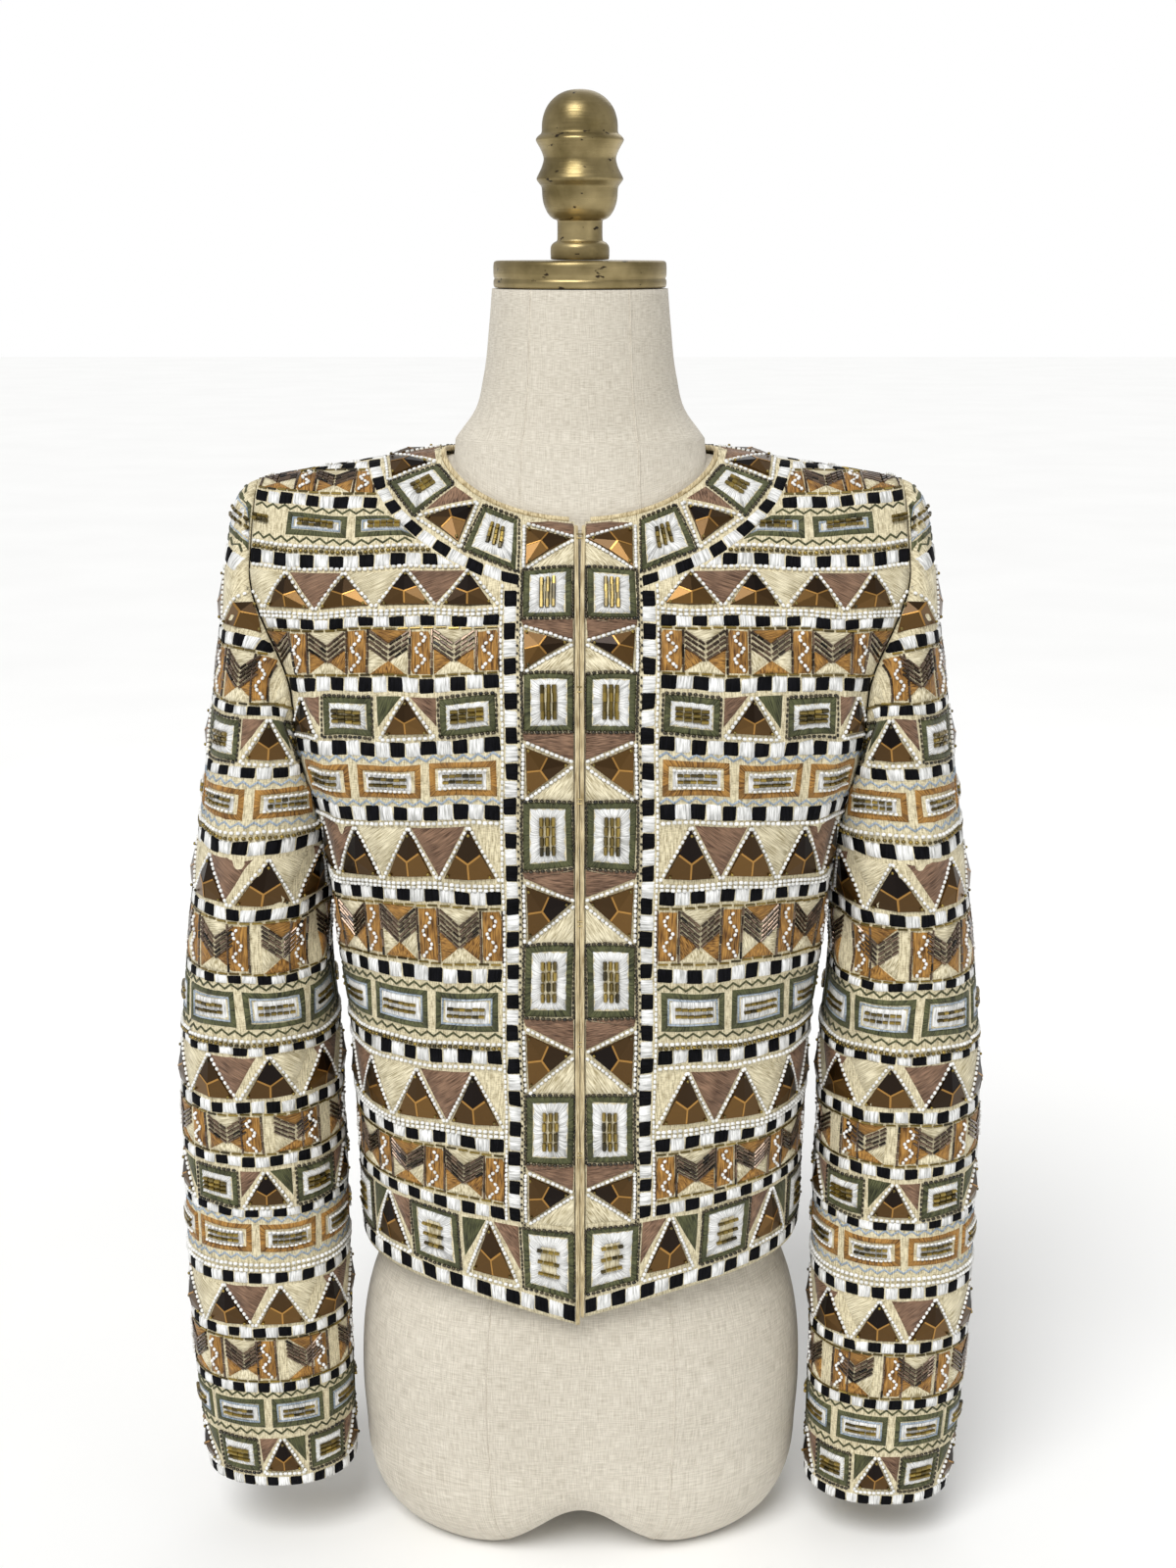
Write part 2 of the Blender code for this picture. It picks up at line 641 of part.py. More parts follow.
def cloth_walls(chart, outline, studs, keep_clear, square):
    """Points and triangles of a wall with studs raised in its outer points."""
    kept = [c for c in studs if inside_outline(c, outline, 3.0).all() and not keep_clear(c)]
    tops = np.array([c.mean(axis=0) for c in kept]).reshape(-1, 2)
    corners = np.vstack(kept) if kept else np.zeros((0, 2))
    grid = level_grid(outline, OUTER_STEP)
    grid = grid[inside_outline(grid, outline, OUTER_STEP * 0.42)]
    if len(corners):
        ring_a = corners
        ring_b = np.vstack([np.roll(c, -1, axis=0) for c in kept])
        grid = grid[segment_distance(grid, ring_a, ring_b).min(axis=1) > OUTER_STEP * 0.36]
        grid = grid[[not inside_any(p, kept) for p in grid]]
    first = len(outline)
    edges = []
    for k in range(len(kept)):
        base = first + 3 * k
        edges += [(base, base + 1), (base + 1, base + 2), (base + 2, base)]
    loose = np.vstack([corners, tops, grid])
    outer_faces = triangulate(outline, loose, edges)
    outer_uv = np.vstack([outline, loose])
    height = np.zeros(len(outer_uv))
    height[first + len(corners):first + len(corners) + len(tops)] = STUD_HEIGHT

    plain = level_grid(outline, INNER_STEP)
    plain = plain[inside_outline(plain, outline, INNER_STEP * 0.4)]
    inner_faces = triangulate(outline, plain, [])
    inner_uv = np.vstack([outline, plain])

    outer, outer_normal = square(outer_uv, chart.at(outer_uv), chart.normal(outer_uv))
    inner, inner_normal = square(inner_uv, chart.at(inner_uv), chart.normal(inner_uv))
    outer = outer + outer_normal * height[:, None]
    inner = inner - inner_normal * WALL
    return closed_wall(outer, outer_faces, outer_normal, inner, inner_faces, first)


def inside_any(point, triangles):
    """True where a point lies in one of the triangles."""
    for c in triangles:
        side = [np.cross(c[(k + 1) % 3] - c[k], point - c[k]) for k in range(3)]
        if min(side) >= 0 or max(side) <= 0:
            return True
    return False


def closed_wall(outer, outer_faces, normal, inner, inner_faces, rim):
    """Join two sheets that share their first rim points round the edge."""
    face = outer_faces[0]
    a, b, c = (outer[i] for i in face)
    if np.dot(np.cross(b - a, c - a), normal[face[0]]) < 0:
        outer_faces = [f[::-1] for f in outer_faces]
        inner_faces = [f[::-1] for f in inner_faces]
        forward = False
    else:
        forward = True
    base = len(outer)
    faces = list(outer_faces)
    faces += [[base + i for i in f[::-1]] for f in inner_faces]
    order = outer[:rim] @ RIM_ORDER
    for i in range(rim):
        j = (i + 1) % rim
        one, two = (j, i) if forward else (i, j)
        if order[one] < order[two]:
            faces.append([one, two, base + two])
            faces.append([one, base + two, base + one])
        else:
            faces.append([one, two, base + one])
            faces.append([two, base + two, base + one])
    return np.vstack([outer, inner]), faces


def make_material(name, colour, roughness, metallic=0.0):
    material = bpy.data.materials.new(name)
    material.use_nodes = True
    shader = material.node_tree.nodes["Principled BSDF"]
    shader.inputs["Base Color"].default_value = (*colour, 1.0)
    shader.inputs["Roughness"].default_value = roughness
    shader.inputs["Metallic"].default_value = metallic
    return material


def place_node(node, collection):
    """Set a node so that the whole piece's box is centred on the upright axis."""
    node.location.y = BOX_SHIFT_Y * MM
    collection.objects.link(node)


def make_node(name, points, faces, material, collection):
    mesh = bpy.data.meshes.new(name)
    mesh.from_pydata((np.asarray(points) * MM).tolist(), [], [list(map(int, f)) for f in faces])
    mesh.materials.append(material)
    node = bpy.data.objects.new(name, mesh)
    place_node(node, collection)
    return node


def seam_side(chart, hem_v):
    """A half's edge from the hem up the side, round the armhole and along the shoulder."""
    half = SEAM_GAP / 2
    side = chart.side_stations(hem_v) - np.array([half, 0.0])
    armhole_points = chart.armhole_stations()[::-1] - np.array([half, 0.0])
    ridge = chart.ridge_stations() - np.array([0.0, half])
    armhole_points[-1, 1] = ridge[0, 1]
    return np.vstack([side[:-1], armhole_points, ridge[1:]])


def front_outline(chart, hem_v):
    """Outline of a front with its seams drawn in by half the seam gap."""
    edge = seam_side(chart, hem_v)
    neck = chart.neckline(30)
    neck = neck[neck[:, 0] > FRONT_EDGE_U + 1.0]
    neck = np.vstack([edge[-1], neck[1:], (FRONT_EDGE_U, neck[-1, 1])])
    hem = [(FRONT_EDGE_U, hem_v), edge[0]]
    centre = [neck[-1], (FRONT_EDGE_U, hem_v)]
    return join_lines(thin(hem, OUTLINE_STEP), edge, thin(neck, OUTLINE_STEP * 0.6),
                      thin(centre, OUTLINE_STEP * 1.4))


def back_outline(chart):
    """Outline of the whole back, the other half a mirror of the first."""
    edge = seam_side(chart, BACK_HEM_V)
    neck = np.vstack([edge[-1], chart.neckline(30)[1:]])
    hem = [(0.0, BACK_HEM_V), edge[0]]
    right = np.vstack([thin(hem, OUTLINE_STEP)[:-1], edge[:-1], thin(neck, OUTLINE_STEP * 0.6)])
    left = right[1:-1][::-1] * np.array([-1.0, 1.0])
    return np.vstack([right, left])


def sleeve_outline(chart, cuff_z, first_turn, last_turn):
    """Outline of a sleeve piece with its long seams drawn in."""
    inset = np.array([SLEEVE_SEAM_GAP / 2, 0.0])
    top = chart.top_stations(first_turn, last_turn)
    top[0] -= inset
    top[-1] += inset
    last = seam_up(chart, cuff_z, top[0], last_turn, -inset)
    first = seam_up(chart, cuff_z, top[-1], first_turn, inset)[::-1]
    cuff = [first[-1], last[0]]
    return join_lines(thin(cuff, OUTLINE_STEP), last, top, first)


def seam_up(chart, cuff_z, top, turn, inset):
    """A long seam from the cuff to the armhole, at heights that both pieces share."""
    v = np.arange(cuff_z + OUTLINE_STEP, top[1] - OUTLINE_STEP * 0.4, OUTLINE_STEP)
    v = np.concatenate([[cuff_z], v])
    return np.vstack([chart.line_at(turn, v) + inset, top])


def square_body_seams(chart):
    """Set the cloth square to the shoulder and side seams so both rims match."""
    ridge_normal = np.array([RIDGE_FALL, 0.0, 1.0])
    ridge_normal = ridge_normal / np.linalg.norm(ridge_normal)
    short = -SEAM_GAP / 2 if chart.side == "front" else SEAM_GAP / 2

    def square(uv, points, normals):
        across = np.abs(uv[:, 0])
        sign = np.where(uv[:, 0] < 0, -1.0, 1.0)
        ridge_v = np.interp(across, chart.ridge[:, 0], chart.ridge[:, 1])
        on_ridge = (ridge_v - uv[:, 1] < 1.0) & (across > chart.neck_corner()[0] - 1.0)
        on_side = (chart.edge_at(uv[:, 1]) - across < 1.0) & (uv[:, 1] < chart.underarm_v() + 1.0)
        x = np.abs(points[:, 0])
        points[on_ridge, 1] = (SHOULDER_Y * (x / SHOULDER_X) ** 2 + short)[on_ridge]
        points[on_ridge, 2] = ridge_z(x)[on_ridge]
        normals[on_ridge] = ridge_normal
        normals[on_ridge, 0] *= sign[on_ridge]
        normals[on_side, 1] = 0.0
        return points, normals / np.linalg.norm(normals, axis=1, keepdims=True)

    return square


def as_charted(uv, points, normals):
    return points, normals


def body_contact(chart):
    """True for a body stud that the hanging sleeve lies against."""
    def touches(corners):
        near_side = np.abs(corners[:, 0]).max() > chart.edge_at(corners[0, 1]) - 34.0
        return near_side and corners[:, 1].max() > 355.0
    return touches


def sleeve_contact(chart):
    """True for a sleeve stud that lies against the body."""
    def touches(corners):
        turns = [chart.turn_at(*c) for c in corners]
        return max(turns) > 128 and min(turns) < 232 and corners[:, 1].max() > 355.0
    return touches


def front_studs(chart):
    studs = row_studs(BODY_STUDS, BAND_START_U, lambda v: chart.edge_at(v) - 3.0)
    studs += [sideways_stud(v, 1.0) for v in COLUMN_STUDS_V]
    return studs


def build_body(front, back, cloth, collection):
    for name, sign in (("front_left", -1.0), ("front_right", 1.0)):
        hem_v = HEM_V[name[6:]]
        outline = front_outline(front, hem_v)
        studs = front_studs(front)
        if sign < 0:
            outline = outline[::-1] * np.array([-1.0, 1.0])
            studs = mirrored(studs)
        points, faces = cloth_walls(front, outline, studs, body_contact(front), square_body_seams(front))
        make_node(name, points, faces, cloth[name], collection)
    studs = row_studs(BODY_STUDS, 3.0, lambda v: back.edge_at(v) - 3.0)
    points, faces = cloth_walls(back, back_outline(back), studs + mirrored(studs),
                                body_contact(back), square_body_seams(back))
    make_node("back", points, faces, cloth["back"], collection)


def build_sleeves(front, back, cloth, collection):
    chart = SleeveChart(front, back)
    pieces = (("front", FRONT_SEAM_TURN, BACK_SEAM_TURN),
              ("back", BACK_SEAM_TURN, FRONT_SEAM_TURN + 360.0))
    for part, first_turn, last_turn in pieces:
        studs = []
        for row in SLEEVE_STUDS:
            middle = (row.foot + row.tip) / 2
            first_u = chart.u_at(first_turn, middle) + 2.0
            last_u = chart.u_at(last_turn, middle) - 2.0
            studs += row_studs((row,), first_u, lambda v: last_u)
        for side, sign in (("left", -1.0), ("right", 1.0)):
            outline = sleeve_outline(chart, CUFF_Z[side], first_turn, last_turn)
            points, faces = cloth_walls(chart, outline, studs, sleeve_contact(chart), as_charted)
            if sign < 0:
                points = points * np.array([-1.0, 1.0, 1.0])
                faces = [f[::-1] for f in faces]
            name = "sleeve_%s_%s" % (part, side)
            make_node(name, points, faces, cloth[name], collection)


def jacket_height(x, y):
    """Height of the jacket's shoulder over a point, far off the shoulder no limit."""
    x = min(abs(x), SHOULDER_X)
    s = x / SHOULDER_X
    side = "front" if y < SHOULDER_Y * s ** 2 else "back"
    last = BODY_SECTIONS[-1]
    chest_x = x * ARMHOLE_CHEST_X / SHOULDER_X
    depth = getattr(last, side)
    chest_y = depth * (1 - (chest_x / last.half_width) ** last.squareness) ** (1 / last.squareness)
    power = 1.5 + 0.1 * s if side == "front" else 3.0 - s
    out = min(abs(y - SHOULDER_Y * s ** 2) / chest_y, 1.0)
    return CHEST_Z + (ridge_z(x) - CHEST_Z) * (1 - out ** power) ** (1 / power)


def under_shoulder(x, y):
    """Height just under the inside of the jacket's shoulder."""
    slope = (jacket_height(x, y + 1.0) - jacket_height(x, y - 1.0)) / 2.0
    drop = (WALL + SHOULDER_CLEARANCE) * math.sqrt(1 + RIDGE_FALL ** 2 + min(slope ** 2, 6.0))
    return jacket_height(x, y) - drop


def form_ring(z):
    """Level ring of the form as rows of x, y and z."""
    turns = np.linspace(0.0, 2 * math.pi, FORM_COLUMNS, endpoint=False)
    level = np.array(float(z))
    half_width = read(FORM_SECTIONS, "half_width", level)
    squareness = read(FORM_SECTIONS, "squareness", level)
    front_depth = read(FORM_SECTIONS, "front", level)
    back_depth = read(FORM_SECTIONS, "back", level)
    depth = np.where(np.cos(turns) > 0, front_depth, back_depth)
    radius = oval_radius(turns, half_width, depth, squareness)
    return np.stack([radius * np.sin(turns), -radius * np.cos(turns), np.full_like(turns, z)], -1)


def shoulder_rings():
    """Rings that climb from the upper chest, under the jacket, to the neck's base."""
    low = form_ring(FORM_LEVELS[-1])
    base = form_ring(NECK_BASE_Z)
    base[:, :2] *= (NECK_BASE_RATIO / neck_ratio(base))[:, None]
    rings = []
    for share in SHOULDER_SHARES:
        ring = low + (base - low) * share
        lift = smooth_curve(share, (0.0, 0.5), (0.0, 1.0))
        for point in ring:
            point[2] = low[0, 2] + (under_shoulder(point[0], point[1]) - low[0, 2]) * lift
        rings.append(ring)
    return rings


def lobe_height(x, share):
    """Height of the form's underside: two flat-footed lobes with an arch between."""
    rise = 1 - (1 - share ** LOBE_SQUARENESS) ** 0.5
    arch = ARCH_HEIGHT * math.exp(-(x / ARCH_WIDTH) ** 2)
    return max(0.0, arch + (LOBE_EDGE_HEIGHT - arch) * rise - LOBE_SINK * (1 - rise))


def build_form(linen, brass, collection):
    foot = form_ring(LOBE_EDGE_HEIGHT)
    rings = []
    for share in reversed(LOBE_RADII):
        rings.append([(x * share, y * share, lobe_height(x * share, share)) for x, y, z in foot])
    rings += [form_ring(z) for z in FORM_LEVELS]
    rings += shoulder_rings()
    rings += [form_ring(z) for z in NECK_LEVELS]
    points = [(0.0, 0.0, lobe_height(0.0, 0.0))]
    for ring in rings:
        points += [tuple(point) for point in ring]
    top = len(points)
    points.append((0.0, 0.0, NECK_LEVELS[-1]))
    n = FORM_COLUMNS
    faces = [[0, 1 + (i + 1) % n, 1 + i] for i in range(n)]
    for r in range(len(rings) - 1):
        a, b = 1 + r * n, 1 + (r + 1) * n
        for i in range(n):
            j = (i + 1) % n
            faces.append([a + i, a + j, b + j])
            faces.append([a + i, b + j, b + i])
    last = 1 + (len(rings) - 1) * n
    faces += [[last + i, last + (i + 1) % n, top] for i in range(n)]
    make_node("form_torso", points, faces, linen, collection)
    edge = 3.5
    cap = [(0.0, CAP_Z1), (CAP_RADIUS - edge, CAP_Z1), (CAP_RADIUS - 1.0, CAP_Z1 - 1.0),
           (CAP_RADIUS, CAP_Z1 - edge), (CAP_RADIUS, CAP_Z0 + edge), (CAP_RADIUS - 1.0, CAP_Z0 + 1.0),
           (CAP_RADIUS - edge, CAP_Z0), (0.0, CAP_Z0)]
    turned_node("form_cap", cap, 36, brass, collection)
    finial = [(0.0, FINIAL_Z0 + FINIAL_PROFILE[-1][1] + 0.6)]
    finial += [(r, FINIAL_Z0 + h) for r, h in reversed(FINIAL_PROFILE)]
    finial.append((0.0, FINIAL_Z0))
    turned_node("form_finial", finial, 24, brass, collection)


def turned_node(name, profile, steps, material, collection):
    """Turn a profile, given from top to bottom, round the upright axis."""
    mesh = bpy.data.meshes.new(name)
    points = [(r * MM, 0.0, z * MM) for r, z in profile]
    mesh.from_pydata(points, [(i, i + 1) for i in range(len(points) - 1)], [])
    mesh.materials.append(material)
    node = bpy.data.objects.new(name, mesh)
    place_node(node, collection)
    screw = node.modifiers.new("turned", "SCREW")
    screw.steps = steps
    screw.render_steps = steps
    screw.use_merge_vertices = True
    screw.merge_threshold = 0.00001
    screw.use_smooth_shade = True


def wire_node(name, points, radius, material, collection, resolution=1):
    """A cord or wire along points, as a bevelled curve with filled ends."""
    curve = bpy.data.curves.new(name, "CURVE")
    curve.dimensions = "3D"
    curve.bevel_depth = radius * MM
    curve.bevel_resolution = resolution
    curve.use_fill_caps = True
    spline = curve.splines.new("POLY")
    spline.points.add(len(points) - 1)
    for place, point in zip(spline.points, points):
        place.co = (*(float(c) * MM for c in point), 1.0)
    curve.materials.append(material)
    node = bpy.data.objects.new(name, curve)
    place_node(node, collection)
    return node


def build_trims(front, back, materials, collection):
    binding = neck_binding_line(front, back)
    wire_node("neck_binding", binding, BINDING_RADIUS, materials["binding"], collection)
    for side, sign in (("left", -1.0), ("right", 1.0)):
        top_v = front.neckline(30)[-1, 1] - 4.2
        v = np.linspace(HEM_V[side], top_v, 30)
        uv = np.stack([np.full_like(v, FRONT_EDGE_U), v], -1)
        line = front.at(uv) - front.normal(uv) * WALL * 0.45
        line[:, 0] = sign * (FRONT_EDGE_U - SEAM_GAP - CORD_RADIUS)
        wire_node("edge_cord_" + side, line, CORD_RADIUS, materials["binding"], collection)
    for k, v in enumerate(HOOK_VS):
        build_hook(front, v, k + 1, materials["hook"], collection)


def build_hook(front, v, number, brass, collection):
    """A wire hook whose bill crosses in front of the two edge cords."""
    uv = np.array([(0.0, v - 1.4), (0.0, v - 1.4), (0.0, v), (0.0, v + 1.4), (0.0, v + 1.4)])
    lift = CORD_RADIUS - WALL * 0.45 + SEAM_GAP + HOOK_WIRE
    line = front.at(uv) + front.normal(uv) * lift
    line[:, 0] = (-1.9, 1.7, 2.2, 1.7, -1.9)
    wire_node("hook_%d" % number, line, HOOK_WIRE, brass, collection)


def neck_binding_line(front, back):
    """Centre line of the binding, from one front edge round the neck to the other."""
    points = []
    normals = []
    for chart in (front, back):
        uv = thin(chart.neckline(40), 4.0)
        if chart is front:
            uv = uv[uv[:, 0] > FRONT_EDGE_U + 1.0][::-1]
        else:
            uv = uv[1:-1]
        points.append(chart.at(uv))
        normals.append(chart.normal(uv))
    points = np.vstack(points)
    normals = np.vstack(normals)
    tangent = np.gradient(points, axis=0)
    inward = np.cross(tangent, normals)
    inward = inward / np.linalg.norm(inward, axis=1, keepdims=True)
    inward *= -np.sign((inward[:, :2] * points[:, :2]).sum(axis=1))[:, None]
    right = points - normals * WALL / 2 + inward * (BINDING_RADIUS + BINDING_GAP)
    centre = right[-1] * np.array([0.0, 1.0, 1.0])
    left = right[::-1] * np.array([-1.0, 1.0, 1.0])
    return thin(np.vstack([right, centre, left]), 9.0)


def main():
    for old in list(bpy.data.objects):
        bpy.data.objects.remove(old, do_unlink=True)
    collection = bpy.data.collections.new("beaded_jacket")
    bpy.context.scene.collection.children.link(collection)
    cream = (0.78, 0.71, 0.55)
    names = ("front_left", "front_right", "back", "sleeve_front_left", "sleeve_front_right",
             "sleeve_back_left", "sleeve_back_right")
    cloth = {name: make_material("embroidered_" + name, cream, 0.9) for name in names}
    trims = {"binding": make_material("cream_cord", (0.8, 0.74, 0.6), 0.85),
             "hook": make_material("brass_wire", (0.55, 0.4, 0.18), 0.4, 1.0)}
    linen = make_material("linen", (0.72, 0.68, 0.6), 0.95)
    brass = make_material("aged_brass", (0.45, 0.34, 0.16), 0.45, 1.0)
    front = BodyChart("front")
    back = BodyChart("back")
    build_body(front, back, cloth, collection)
    build_sleeves(front, back, cloth, collection)
    build_form(linen, brass, collection)
    build_trims(front, back, trims, collection)


main()
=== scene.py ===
"""Finished look of a beaded collarless jacket on a limbless linen dress form.

Lengths are millimetres in the row frame until a mesh is made. +X is the
photograph's right, -Y the front and +Z up. Cloth pieces are laid out on charts:
u runs round a piece and v runs up it, in millimetres of cloth, and a chart turns
(u, v) and a height above the cloth into a point of the worn jacket.
"""

import json
import logging
import math
from collections.abc import Sequence
from dataclasses import dataclass, field
from enum import Enum

import bpy
import numpy as np
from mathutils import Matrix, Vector

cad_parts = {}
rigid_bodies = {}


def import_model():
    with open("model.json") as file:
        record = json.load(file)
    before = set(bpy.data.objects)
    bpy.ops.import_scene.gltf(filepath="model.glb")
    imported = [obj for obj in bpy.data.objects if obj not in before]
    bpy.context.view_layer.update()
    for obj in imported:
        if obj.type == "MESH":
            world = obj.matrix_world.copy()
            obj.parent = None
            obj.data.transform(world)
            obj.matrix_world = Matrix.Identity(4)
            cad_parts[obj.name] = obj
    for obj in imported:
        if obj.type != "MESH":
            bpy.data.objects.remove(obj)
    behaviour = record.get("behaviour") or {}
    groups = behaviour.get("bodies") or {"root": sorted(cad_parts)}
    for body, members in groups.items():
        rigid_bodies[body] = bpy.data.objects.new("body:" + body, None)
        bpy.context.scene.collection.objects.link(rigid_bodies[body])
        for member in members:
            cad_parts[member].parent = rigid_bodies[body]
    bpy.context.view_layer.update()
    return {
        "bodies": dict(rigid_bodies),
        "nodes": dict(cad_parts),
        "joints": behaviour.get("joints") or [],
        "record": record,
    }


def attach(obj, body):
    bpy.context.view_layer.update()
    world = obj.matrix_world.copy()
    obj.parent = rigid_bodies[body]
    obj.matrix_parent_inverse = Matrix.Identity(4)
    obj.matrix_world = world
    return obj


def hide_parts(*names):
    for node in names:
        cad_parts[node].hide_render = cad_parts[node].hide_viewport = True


Array = np.ndarray
Colour = tuple[int, int, int]
Material = bpy.types.Material
Piece = bpy.types.Object
Socket = bpy.types.NodeSocket


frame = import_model()
LOG = logging.getLogger("beaded_jacket")
MM = 0.001
BOX_SHIFT_Y = 6.33
FINIAL_FOOT_Z = 816.3
WALL = 2.4
MOST_TRIANGLES = 190000
SIDES = {"left": -1.0, "right": 1.0}


# Curves and sections of the worn jacket

BODY_SECTIONS = np.array([
    # height, half width, front depth, back depth, squareness
    (150, 141, 104, 101, 2.3), (195, 141, 104, 100, 2.3), (265, 143, 106, 97, 2.4),
    (365, 147, 110, 92, 2.5), (430, 154, 113, 94, 2.6), (489, 165, 116, 100, 2.75),
    (520, 177, 118, 104, 2.8), (560, 185, 117, 106, 2.8),
])
THREAD_DROPS = np.array([
    # height, rise of a level thread at the side seam
    (150, 27), (176, 26), (265, 10), (365, -8), (560, -12), (640, -6), (700, 0), (820, 0),
])
HEM_SWEEPS = np.array([
    # height, rise of a front's level thread between the centre and the side
    (150, 14), (176, 14), (240, 7), (297, 0), (365, 0), (820, 0),
])
SLEEVE_SECTIONS = np.array([
    # height, outermost x, width, middle y, half depth
    (15, 241, 91, -24, 43), (45, 245, 95, -24, 44), (126, 252, 101, -22, 48),
    (228, 254, 102, -18, 53), (326, 253.5, 99.5, -13, 58), (420, 244.5, 85, -7, 66),
    (492, 235, 86, -2, 71), (543, 228, 87, 0, 73), (612, 219, 88, 2, 72), (660, 214, 88, 4, 68),
])
BODY_FOLDS = np.array([
    # place, height, lean, width, length, rise
    (160, 560, 0.20, 11, 60, 4.0), (168, 440, -0.30, 14, 70, 3.5), (120, 300, 0.30, 20, 90, 2.0),
])
SLEEVE_FOLDS = np.array([
    (128, 500, -0.55, 13, 55, 4.5), (98, 452, -0.75, 12, 50, 3.5), (140, 395, 0.70, 14, 50, 3.5),
    (110, 310, -0.45, 15, 55, 2.5), (300, 480, 0.60, 15, 60, 3.0), (255, 380, -0.60, 15, 55, 3.0),
])
CHEST_Z = 560.0
UNDERARM_Z = 489.0
SHOULDER_X = 197.0
SHOULDER_Y = 5.0
RIDGE_TOP_Z = 722.0
RIDGE_FALL = 0.18
RIDGE_ROUNDING = 45.0
ARMHOLE_CHEST_X = 171.0
ARMHOLE_CHEST_Y = {"front": 66.0, "back": 60.0}
NECK_HALF_WIDTH = 85.0
NECK_DEPTHS = {"front": 65.0, "back": 62.0}
NECK_ROUNDNESS = 2.2
FRONT_EDGE_U = 3.3
HEM_V = {"left": 176.0, "right": 181.0}
BACK_HEM_V = 176.0
CUFF_V = {"left": 45.0, "right": 31.0}
BICEP_Z = 430.0
CAP_Z = 642.0
SLEEVE_SQUARENESS = 2.2
FRONT_SEAM_TURN = 45.0
BACK_SEAM_TURN = 236.25
SEAM_FADE = 26.0


def smooth_curve(x: Array, xs: Array, ys: Array) -> Array:
    """Read a cubic curve through table rows, held level beyond its ends.

    Args:
        x: Places to read.
        xs: Rising places of the table.
        ys: Values of the table.

    Returns:
        The curve's values at x.
    """
    xs = np.asarray(xs, float)
    ys = np.asarray(ys, float)
    slopes = np.gradient(ys, xs)
    x = np.clip(x, xs[0], xs[-1])
    i = np.clip(np.searchsorted(xs, x) - 1, 0, len(xs) - 2)
    h = xs[i + 1] - xs[i]
    t = (x - xs[i]) / h
    start = (1 + 2 * t) * (1 - t) ** 2 * ys[i] + t * (1 - t) ** 2 * h * slopes[i]
    end = t * t * (3 - 2 * t) * ys[i + 1] + t * t * (t - 1) * h * slopes[i + 1]
    return start + end


def read(table: Array, column: int, place: Array) -> Array:
    """One column of a table at a place of its first column."""
    return smooth_curve(place, table[:, 0], table[:, column])


def oval_radius(turn: Array, half_width: Array, depth: Array,
                squareness: Array) -> Array:
    """Radius of a squared oval, |sin/a|^n + |cos/b|^n to the power -1/n."""
    wide = np.abs(np.sin(turn)) / half_width
    deep = np.abs(np.cos(turn)) / depth
    return (wide ** squareness + deep ** squareness) ** (-1.0 / squareness)


def beside(*parts: Array) -> Array:
    """Arrays stacked as the last axis: points from their coordinates."""
    return np.stack(parts, -1)


def unit(vectors: Array) -> Array:
    """Vectors along the last axis, brought to length 1."""
    return vectors / np.maximum(np.linalg.norm(vectors, axis=-1, keepdims=True), 1e-9)


def lengths(points: Array) -> Array:
    """Length along a row of points, from its first."""
    steps = np.linalg.norm(np.diff(points, axis=0), axis=1)
    return np.concatenate([[0.0], np.cumsum(steps)])


def along(curve: Array, measure: Array, reach: Array, over: Array) -> Array:
    """Points of a curve at given lengths, run on straight past its end.

    Args:
        curve: Points of the curve.
        measure: Length at each point.
        reach: Lengths to read.
        over: Direction past the end.

    Returns:
        One point for each reach.
    """
    inside = np.minimum(reach, measure[-1])
    points = np.stack([np.interp(inside, measure, curve[:, k]) for k in range(curve.shape[1])], -1)
    return points + np.maximum(reach - measure[-1], 0.0)[:, None] * over


def even_line(line: Array, count: int) -> Array:
    """Points at even lengths along a line, ends kept."""
    measure = lengths(line)
    even = np.linspace(0.0, measure[-1], count)
    return np.stack([np.interp(even, measure, line[:, k]) for k in range(line.shape[1])], -1)


def ridge_z(x: Array) -> Array:
    """Height of the shoulder ridge: a straight fall, rounded over the middle."""
    return RIDGE_TOP_Z - RIDGE_FALL * np.hypot(x, RIDGE_ROUNDING)


def thread_rise(s: float, v: Array, side: str) -> Array:
    """Rise of a level thread: a s^2 to the side seam, and b sin(pi s) on a front."""
    sweep = read(HEM_SWEEPS, 1, v) * math.sin(math.pi * s) if side == "front" else 0.0
    return read(THREAD_DROPS, 1, v) * s ** 2 + sweep


def body_section_point(s: Array, z: Array, side: str) -> Array:
    """Point of the worn body below the chest line, on a squared oval.

    Args:
        s: Share of the way from the centre line to the side.
        z: Height.
        side: "front" or "back".

    Returns:
        Points as rows of x, y and z.
    """
    chest_turn = math.atan2(ARMHOLE_CHEST_X, ARMHOLE_CHEST_Y[side])
    share = np.clip((z - UNDERARM_Z) / (CHEST_Z - UNDERARM_Z), 0.0, 1.0)
    opened = (share * (2.0 - share)) ** 0.7
    turn = s * (math.pi / 2 - (math.pi / 2 - chest_turn) * opened)
    depth = read(BODY_SECTIONS, 2 if side == "front" else 3, z)
    radius = oval_radius(turn, read(BODY_SECTIONS, 1, z), depth, read(BODY_SECTIONS, 4, z))
    facing = -1.0 if side == "front" else 1.0
    return beside(radius * np.sin(turn), facing * radius * np.cos(turn), z + 0 * s)


